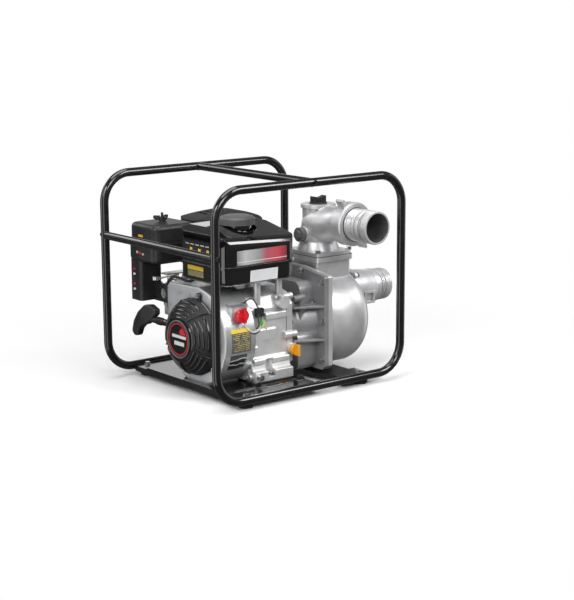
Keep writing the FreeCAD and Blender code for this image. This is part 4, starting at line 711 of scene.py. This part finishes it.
def grille_rib(radius, start, end):
    def point_at(u, v, height):
        taper = min(1.0, min(u, 1 - u) * 12)  # narrows and lowers both ends
        width = RIB_WIDTH * (0.35 + 0.65 * taper)
        crown = rounded_top(v, height, drop=0.55)
        if height > RIB_FOOT:
            crown *= 0.5 + 0.5 * taper
        return on_cover(radius + (v - 0.5) * width, start + (end - start) * u, crown)
    return point_at


def grille_spoke(start):
    def point_at(u, v, height):
        radius = 51.5 + GRILLE_DEPTH * u
        width = 3.2 - 0.8 * u
        sweep = 12.0 * u
        degrees = start + sweep + math.degrees((v - 0.5) * width / radius)
        return on_cover(radius, degrees, rounded_top(v, height, drop=0.5))
    return point_at


slab("recoil_grille_floor",
     lambda u, v, height: on_cover(GRILLE_INNER + GRILLE_DEPTH * v, FULL_TURN * u, height),
     cells=(120, 14), heights=(0.25, 0.9), finish="heat_black")
for sector in range(SECTORS):
    sector_start = FIRST_SECTOR + SECTOR_PITCH * sector
    for rib, radius in enumerate(RIB_RADII):
        lean = 10.0 * (radius - GRILLE_INNER) / 36
        start = sector_start + RIB_GAP + lean
        end = sector_start + SECTOR_SPAN - RIB_GAP + lean
        if (sector, rib) == (1, 3):
            start += 6  # the outermost rib of the second sector starts late
        slab(f"recoil_rib_{sector}_{rib}", grille_rib(radius, start, end),
             cells=(34, 6), heights=(RIB_FOOT, 3.6), finish="recoil_black")
    slab(f"recoil_spoke_{sector}", grille_spoke(sector_start),
         cells=(18, 6), heights=(RIB_FOOT, 4.3), finish="recoil_black")


# ------------------------------------------------------------------ recoil cover: hub and emblem
EMBLEM_HEIGHTS = (1.3, 1.7)


def hub_ring(name, inner, outer, heights, finish, crown=0.0):
    """Flat ring on the hub; crown raises the middle of its top."""
    def point_at(u, v, height):
        radius = max(inner + (outer - inner) * v, 0.02)
        if height >= heights[1]:
            height += crown * (1 - (2 * v - 1) ** 2)
        angle = math.radians(FULL_TURN * u)
        return place(HUB_X - height,
                     AXIS_Y + radius * math.cos(angle), AXIS_Z + radius * math.sin(angle))
    slab(name, point_at, cells=(96, 8), heights=heights, finish=finish)


def emblem_bar(name, start, end, low, high):
    """Bar on the hub, measured from the axis."""
    slab(name, flat("X", HUB_X, AXIS_Y + start, AXIS_Y + end, AXIS_Z + low, AXIS_Z + high),
         cells=(10, 4), heights=EMBLEM_HEIGHTS, finish="emblem_pale")


def arched_mark(u, v, height):
    arch = 0.35 + 0.65 * math.sin(math.pi * u)
    return place(HUB_X - height, AXIS_Y - 30 + 22 * u + 4 * v, AXIS_Z + 12 + 15 * v * arch)


hub_ring("recoil_disc", 0.0, 43.5, heights=(0.05, 1.4), finish="recoil_black")
hub_ring("recoil_disc_rim", 40.0, 44.5, heights=(1.2, 2.2), finish="plastic_grey", crown=1.2)
hub_ring("recoil_emblem_ring", 34.6, 37.4, heights=(1.3, 1.75), finish="emblem_red")
emblem_bar("recoil_emblem_bar_a", start=24, end=-30, low=3, high=10)
emblem_bar("recoil_emblem_bar_b", start=16, end=-22, low=-14, high=-5)
slab("recoil_emblem_mark", arched_mark, cells=(16, 6), heights=EMBLEM_HEIGHTS,
     finish="emblem_red")

# ------------------------------------------------------------------ labels and marks
# name, (axis, plane, start, end, low, high[, lean]), cells, finish
TANK_LABELS = [
    ("front", ("Y", -146.0, -157, -16, 309, 342), (24, 8), "label_panel"),
    ("lower", ("Y", -144.0, -120, -42, 268, 294, 2.0), (16, 6), "label_white"),
    ("side", ("X", -194.0, 4, -92, 331, 354), (16, 6), "label_strip"),
    ("caution", ("X", -192.0, -6, -66, 275, 299), (16, 6), "label_yellow"),
]
for name, outline, cells, finish in TANK_LABELS:
    slab("label_tank_" + name, flat(*outline), cells, (0.05, 0.35), finish)

FAN_RADIUS = 115.0  # fan housing


def on_fan(x_start, x_end, low, high):
    """Patch wrapped round the near side of the fan housing, between two heights."""
    angle_low = math.asin((low - AXIS_Z) / FAN_RADIUS)
    angle_high = math.asin((high - AXIS_Z) / FAN_RADIUS)

    def point_at(u, v, height):
        angle = angle_low + (angle_high - angle_low) * v
        radius = FAN_RADIUS + height
        return place(x_start + (x_end - x_start) * u,
                     AXIS_Y - radius * math.cos(angle), AXIS_Z + radius * math.sin(angle))
    return point_at


slab("label_fan_upper", on_fan(x_start=-171, x_end=-118, low=110, high=164),
     cells=(12, 20), heights=(0.08, 0.4), finish="label_fan")
slab("label_fan_lower", on_fan(x_start=-172, x_end=-126, low=70, high=104),
     cells=(12, 16), heights=(0.08, 0.4), finish="label_dark")

MARK_HEIGHTS = (0.02, 0.4)
slab("mark_air_cleaner_a", flat("X", -212.0, 166, 147, 344, 349), (6, 3), MARK_HEIGHTS,
     "yellow_plastic", body="air_cleaner_cover")
# letter, y start, y end, low, high, finish
AIR_CLEANER_MARKS = [
    ("b", 172, 164, 305, 310, "emblem_pale"),
    ("c", 162, 150, 303, 309, "emblem_red"),
    ("d", 147, 140, 302, 307, "emblem_pale"),
]
for letter, start, end, low, high, finish in AIR_CLEANER_MARKS:
    slab("mark_air_cleaner_" + letter, flat("X", -215.0, start, end, low, high), (4, 3),
         MARK_HEIGHTS, finish)
for i, low in enumerate((262, 250, 226, 214)):
    slab(f"mark_duct_{i}", flat("X", -212.0, 192, 183, low, low + 5, lean=-2.0), (4, 3),
         MARK_HEIGHTS, "emblem_pale" if i % 2 else "emblem_red")

# ------------------------------------------------------------------ welds and tube seams
FRAME_Y = 219  # side frames at -FRAME_Y and +FRAME_Y
WELD_RING = 10.2  # radius of the path round a crossbar
WELD_INSET = 0.6
WELD_FLAT = 8.3  # the path is cut off flat this far out
SEAM_RING = 10.05


def top_weld(angle, side):
    across, rise = WELD_RING * math.cos(angle), WELD_RING * math.sin(angle)
    return place(across, side * (FRAME_Y - abs(across) - WELD_INSET),
                 490 + min(WELD_FLAT, rise))


def side_weld(angle, side):
    across, rise = WELD_RING * math.cos(angle), WELD_RING * math.sin(angle)
    return place(-270 + max(-WELD_FLAT, across),
                 side * (FRAME_Y - abs(rise) - WELD_INSET), 347 + rise)


def weld(name, point_at, side):
    """Lumpy closed bead."""
    angles = turn(132)
    radii = [0.8 + 0.20 * math.sin(a * 33) + 0.10 * math.sin(a * 7 + 1) for a in angles]
    tube(name, [point_at(a, side) for a in angles], radii, "frame_black", sides=10,
         closed=True)


def ring(name, axis, centre, radius, thickness, finish, count=96):
    """Thin closed ring about an axis along X or Y."""
    x, y, z = centre
    path = []
    for angle in turn(count):
        across, rise = radius * math.cos(angle), radius * math.sin(angle)
        if axis == "X":
            path.append(place(x, y + across, z + rise))
        else:
            path.append(place(x + across, y, z + rise))
    tube(name, path, thickness, finish, sides=8, closed=True)


FRAME_SIDES = (("near", -1), ("far", 1))
for tag, side in FRAME_SIDES:
    weld("weld_top_" + tag, top_weld, side)
    weld("weld_side_" + tag, side_weld, side)
for tag, side in FRAME_SIDES:
    ring("tube_seam_" + tag, "X", (-64, side * FRAME_Y, 22), SEAM_RING, thickness=0.6,
         finish="frame_black", count=64)

# ------------------------------------------------------------------ hose tail rings
for i in range(11):
    ring(f"tail_ring_d{i:02d}", "Y", (DISCHARGE_X, -236.5 + 4.8 * i, DISCHARGE_Z),
         radius=38.0, thickness=1.1, finish="cast_pump")
for i in range(6):
    ring(f"tail_ring_s{i:02d}", "X", (348.0 + 6.2 * i, AXIS_Y, SUCTION_Z),
         radius=38.1, thickness=1.3, finish="cast_pump")

# ------------------------------------------------------------------ gasket line and wires
# (y, z) of the line between the case and its side cover
GASKET_X = 4.4
GASKET_LINE = [(-117.6, 72), (-118.2, 90), (-117.9, 130), (-117.6, 170), (-117.2, 192),
               (-116.2, 198)]
tube("case_gasket_near", [place(GASKET_X, y, z) for y, z in GASKET_LINE], 0.7,
     "gasket_dark", sides=8)


def spline(points, steps=8):
    """Catmull-Rom curve through points, its end points doubled."""
    controls = [place(*point) for point in (points[0], *points, points[-1])]
    curve = []
    for before, start, end, after in zip(controls, controls[1:], controls[2:], controls[3:]):
        for j in range(steps):
            t = j / steps
            curve.append(0.5 * (
                (2 * start) + (end - before) * t
                + (2 * before - 5 * start + 4 * end - after) * t * t
                + (3 * start - before - 3 * end + after) * t ** 3))
    curve.append(controls[-2])
    return curve


# name, finish, radius, points
WIRES = [
    ("lead_white", "wire_white", 1.4,
     [(-133, -139.5, 171), (-128, -141, 163), (-112, -144, 152), (-93, -143, 156),
      (-84, -136, 166)]),
    ("sleeve_a", "sleeve_green", 3.2, [(-88, -136, 163), (-82, -136, 170), (-79, -133, 177)]),
    ("sleeve_b", "sleeve_lime", 2.8, [(-80, -135, 158), (-75, -134, 166), (-73, -131, 173)]),
    ("lead_lime", "sleeve_lime", 1.5, [(-66, -134, 150), (-72, -136, 156), (-75, -134, 166)]),
]
for name, finish, radius, points in WIRES:
    tube(name, spline(points), radius, finish, sides=12)

# ------------------------------------------------------------------ camera
CAMERA_RIGHT = Vector((0.7797498, -0.62607231, -0.00486991))
CAMERA_UP = Vector((0.12749923, 0.15117065, 0.98025067))
CAMERA_FORWARD = Vector((0.61297161, 0.76497117, -0.19769902))

lens = bpy.data.cameras.new("camera")
lens.sensor_width = 36.0
lens.lens = 90.68
lens.clip_start = 0.05
lens.clip_end = 60
camera = bpy.data.objects.new("camera", lens)
scene.collection.objects.link(camera)
rotation = Matrix((CAMERA_RIGHT, CAMERA_UP, -CAMERA_FORWARD)).transposed()
position = place(-2133.83461, -2789.24140, 897.49545)
camera.matrix_world = Matrix.Translation(position) @ rotation.to_4x4()
scene.camera = camera

# ------------------------------------------------------------------ lights, in metres
# name, location, target, (width, height), power
AREA_LIGHTS = [
    ("soft_left", (-2.6, -0.9, 1.7), (-0.1, 0, 0.22), (1.5, 1.3), 46),
    ("soft_near", (-0.6, -2.9, 1.9), (0.1, 0, 0.25), (1.5, 1.0), 34),
    ("soft_right", (1.5, -2.3, 2.1), (0.1, 0, 0.25), (1.6, 1.2), 52),
    ("top", (-0.2, 0.0, 2.4), (0, 0, 0.2), (1.7, 1.7), 30),
    ("rim_back", (-0.9, 2.4, 1.6), (0, 0, 0.3), (1.8, 0.8), 12),
]
for name, location, target, (width, height), power in AREA_LIGHTS:
    light = bpy.data.lights.new(name, "AREA")
    light.energy = power
    light.shape = "RECTANGLE"
    light.size = width
    light.size_y = height
    lamp = bpy.data.objects.new(name, light)
    scene.collection.objects.link(lamp)
    lamp.location = location
    aim = Vector(target) - Vector(location)
    lamp.rotation_euler = aim.to_track_quat("-Z", "Y").to_euler()


def reflection_card(name, azimuth, distance, width, low, high, strength):
    """Upright glowing card, seen only in reflections; azimuth in degrees from +X."""
    angle = math.radians(azimuth)
    foot = Vector((math.cos(angle) * distance - 0.1, math.sin(angle) * distance, 0))
    half = Vector((-math.sin(angle), math.cos(angle), 0)) * (width / 2)
    bottom, top = Vector((0, 0, low)), Vector((0, 0, high))
    corners = (foot - half + bottom, foot + half + bottom, foot + half + top,
               foot - half + top)
    mesh = bpy.data.meshes.new(name)
    mesh.from_pydata([tuple(corner) for corner in corners], [], [(0, 1, 2, 3)])
    material = bpy.data.materials.new(name)
    graph = Graph(material, "ShaderNodeOutputMaterial")
    glow = graph.node("ShaderNodeEmission", {"Strength": strength})
    graph.feed(graph.surface, glow.outputs[0])
    mesh.materials.append(material)
    card = bpy.data.objects.new(name, mesh)
    scene.collection.objects.link(card)
    card.visible_camera = False
    card.visible_diffuse = False
    card.visible_shadow = False
    card.visible_transmission = False


reflection_card("card_left", azimuth=149, distance=1.9, width=0.85, low=-1.2, high=1.5,
                strength=1.7)
reflection_card("card_front", azimuth=205, distance=2.1, width=0.95, low=-1.2, high=1.5,
                strength=1.7)
reflection_card("card_right", azimuth=345, distance=2.2, width=0.9, low=-0.9, high=1.5,
                strength=1.0)
reflection_card("card_back", azimuth=52, distance=3.2, width=3.4, low=0.15, high=1.35,
                strength=0.95)


# ------------------------------------------------------------------ world
def build_world():
    """White to the camera; a grey gradient by height for everything else."""
    world = bpy.data.worlds.new("studio")
    scene.world = world
    graph = Graph(world, "ShaderNodeOutputWorld")
    direction = graph.node("ShaderNodeTexCoord").outputs["Generated"]
    height = graph.remap(graph.separate(direction)["Z"], span=(-1.0, 1.0))
    # (position, brightness) above the lowest stop, with a trace more blue
    greys = ((0.50, 0.20), (0.62, 0.22), (0.72, 0.10), (1.0, 0.24))
    stops = [(0.40, (0.11, 0.11, 0.11))]
    stops += [(position, (grey, grey, grey * 1.01)) for position, grey in greys]
    colours = {"white": (1, 1, 1), "gradient": graph.ramp(height, stops)}
    sky = {key: graph.node("ShaderNodeBackground", {"Color": colour, "Strength": 1.0}).outputs[0]
           for key, colour in colours.items()}
    is_camera = graph.node("ShaderNodeLightPath").outputs["Is Camera Ray"]
    graph.feed(graph.surface, graph.mix_shaders(sky["gradient"], sky["white"], is_camera))


build_world()


# ------------------------------------------------------------------ floor
def floor_finish(name):
    """Pale floor that fades to pure white away from the product, for the camera only."""
    mat = Surface(name)
    is_camera = mat.node("ShaderNodeLightPath").outputs["Is Camera Ray"]
    pale = mat.mix((0.94, 0.94, 0.94), (0.965, 0.965, 0.965),
                   mat.noise(scale=3.0, detail=3, rough=0.5))
    mat.set(Base_Color=mat.mix((0.42, 0.42, 0.42), pale, is_camera), Roughness=0.7,
            Specular_IOR_Level=0.15)
    point = mat.node("ShaderNodeNewGeometry").outputs["Position"]
    distance = mat.node("ShaderNodeVectorMath", {0: point}, operation="LENGTH")
    away = mat.remap(distance.outputs["Value"], span=(0.45, 1.1),
                     interpolation_type="SMOOTHSTEP")
    glow = mat.node("ShaderNodeEmission", {"Strength": 1.0}).outputs[0]
    mat.feed(mat.surface, mat.mix_shaders(mat.bsdf.outputs[0], glow,
                                          mat.multiply(away, is_camera)))


floor_finish("floor_pale")
grid = bmesh.new()
bmesh.ops.create_grid(grid, x_segments=2, y_segments=2, size=40.0)
floor_mesh = bpy.data.meshes.new("floor")
grid.to_mesh(floor_mesh)
grid.free()
floor = bpy.data.objects.new("floor", floor_mesh)
scene.collection.objects.link(floor)
floor.location.z = -0.0003  # just under the feet
floor_mesh.materials.append(PALETTE["floor_pale"])
floor.visible_glossy = False

scene.view_settings.view_transform = "Standard"
scene.view_settings.look = "None"
scene.view_settings.exposure = 0.0
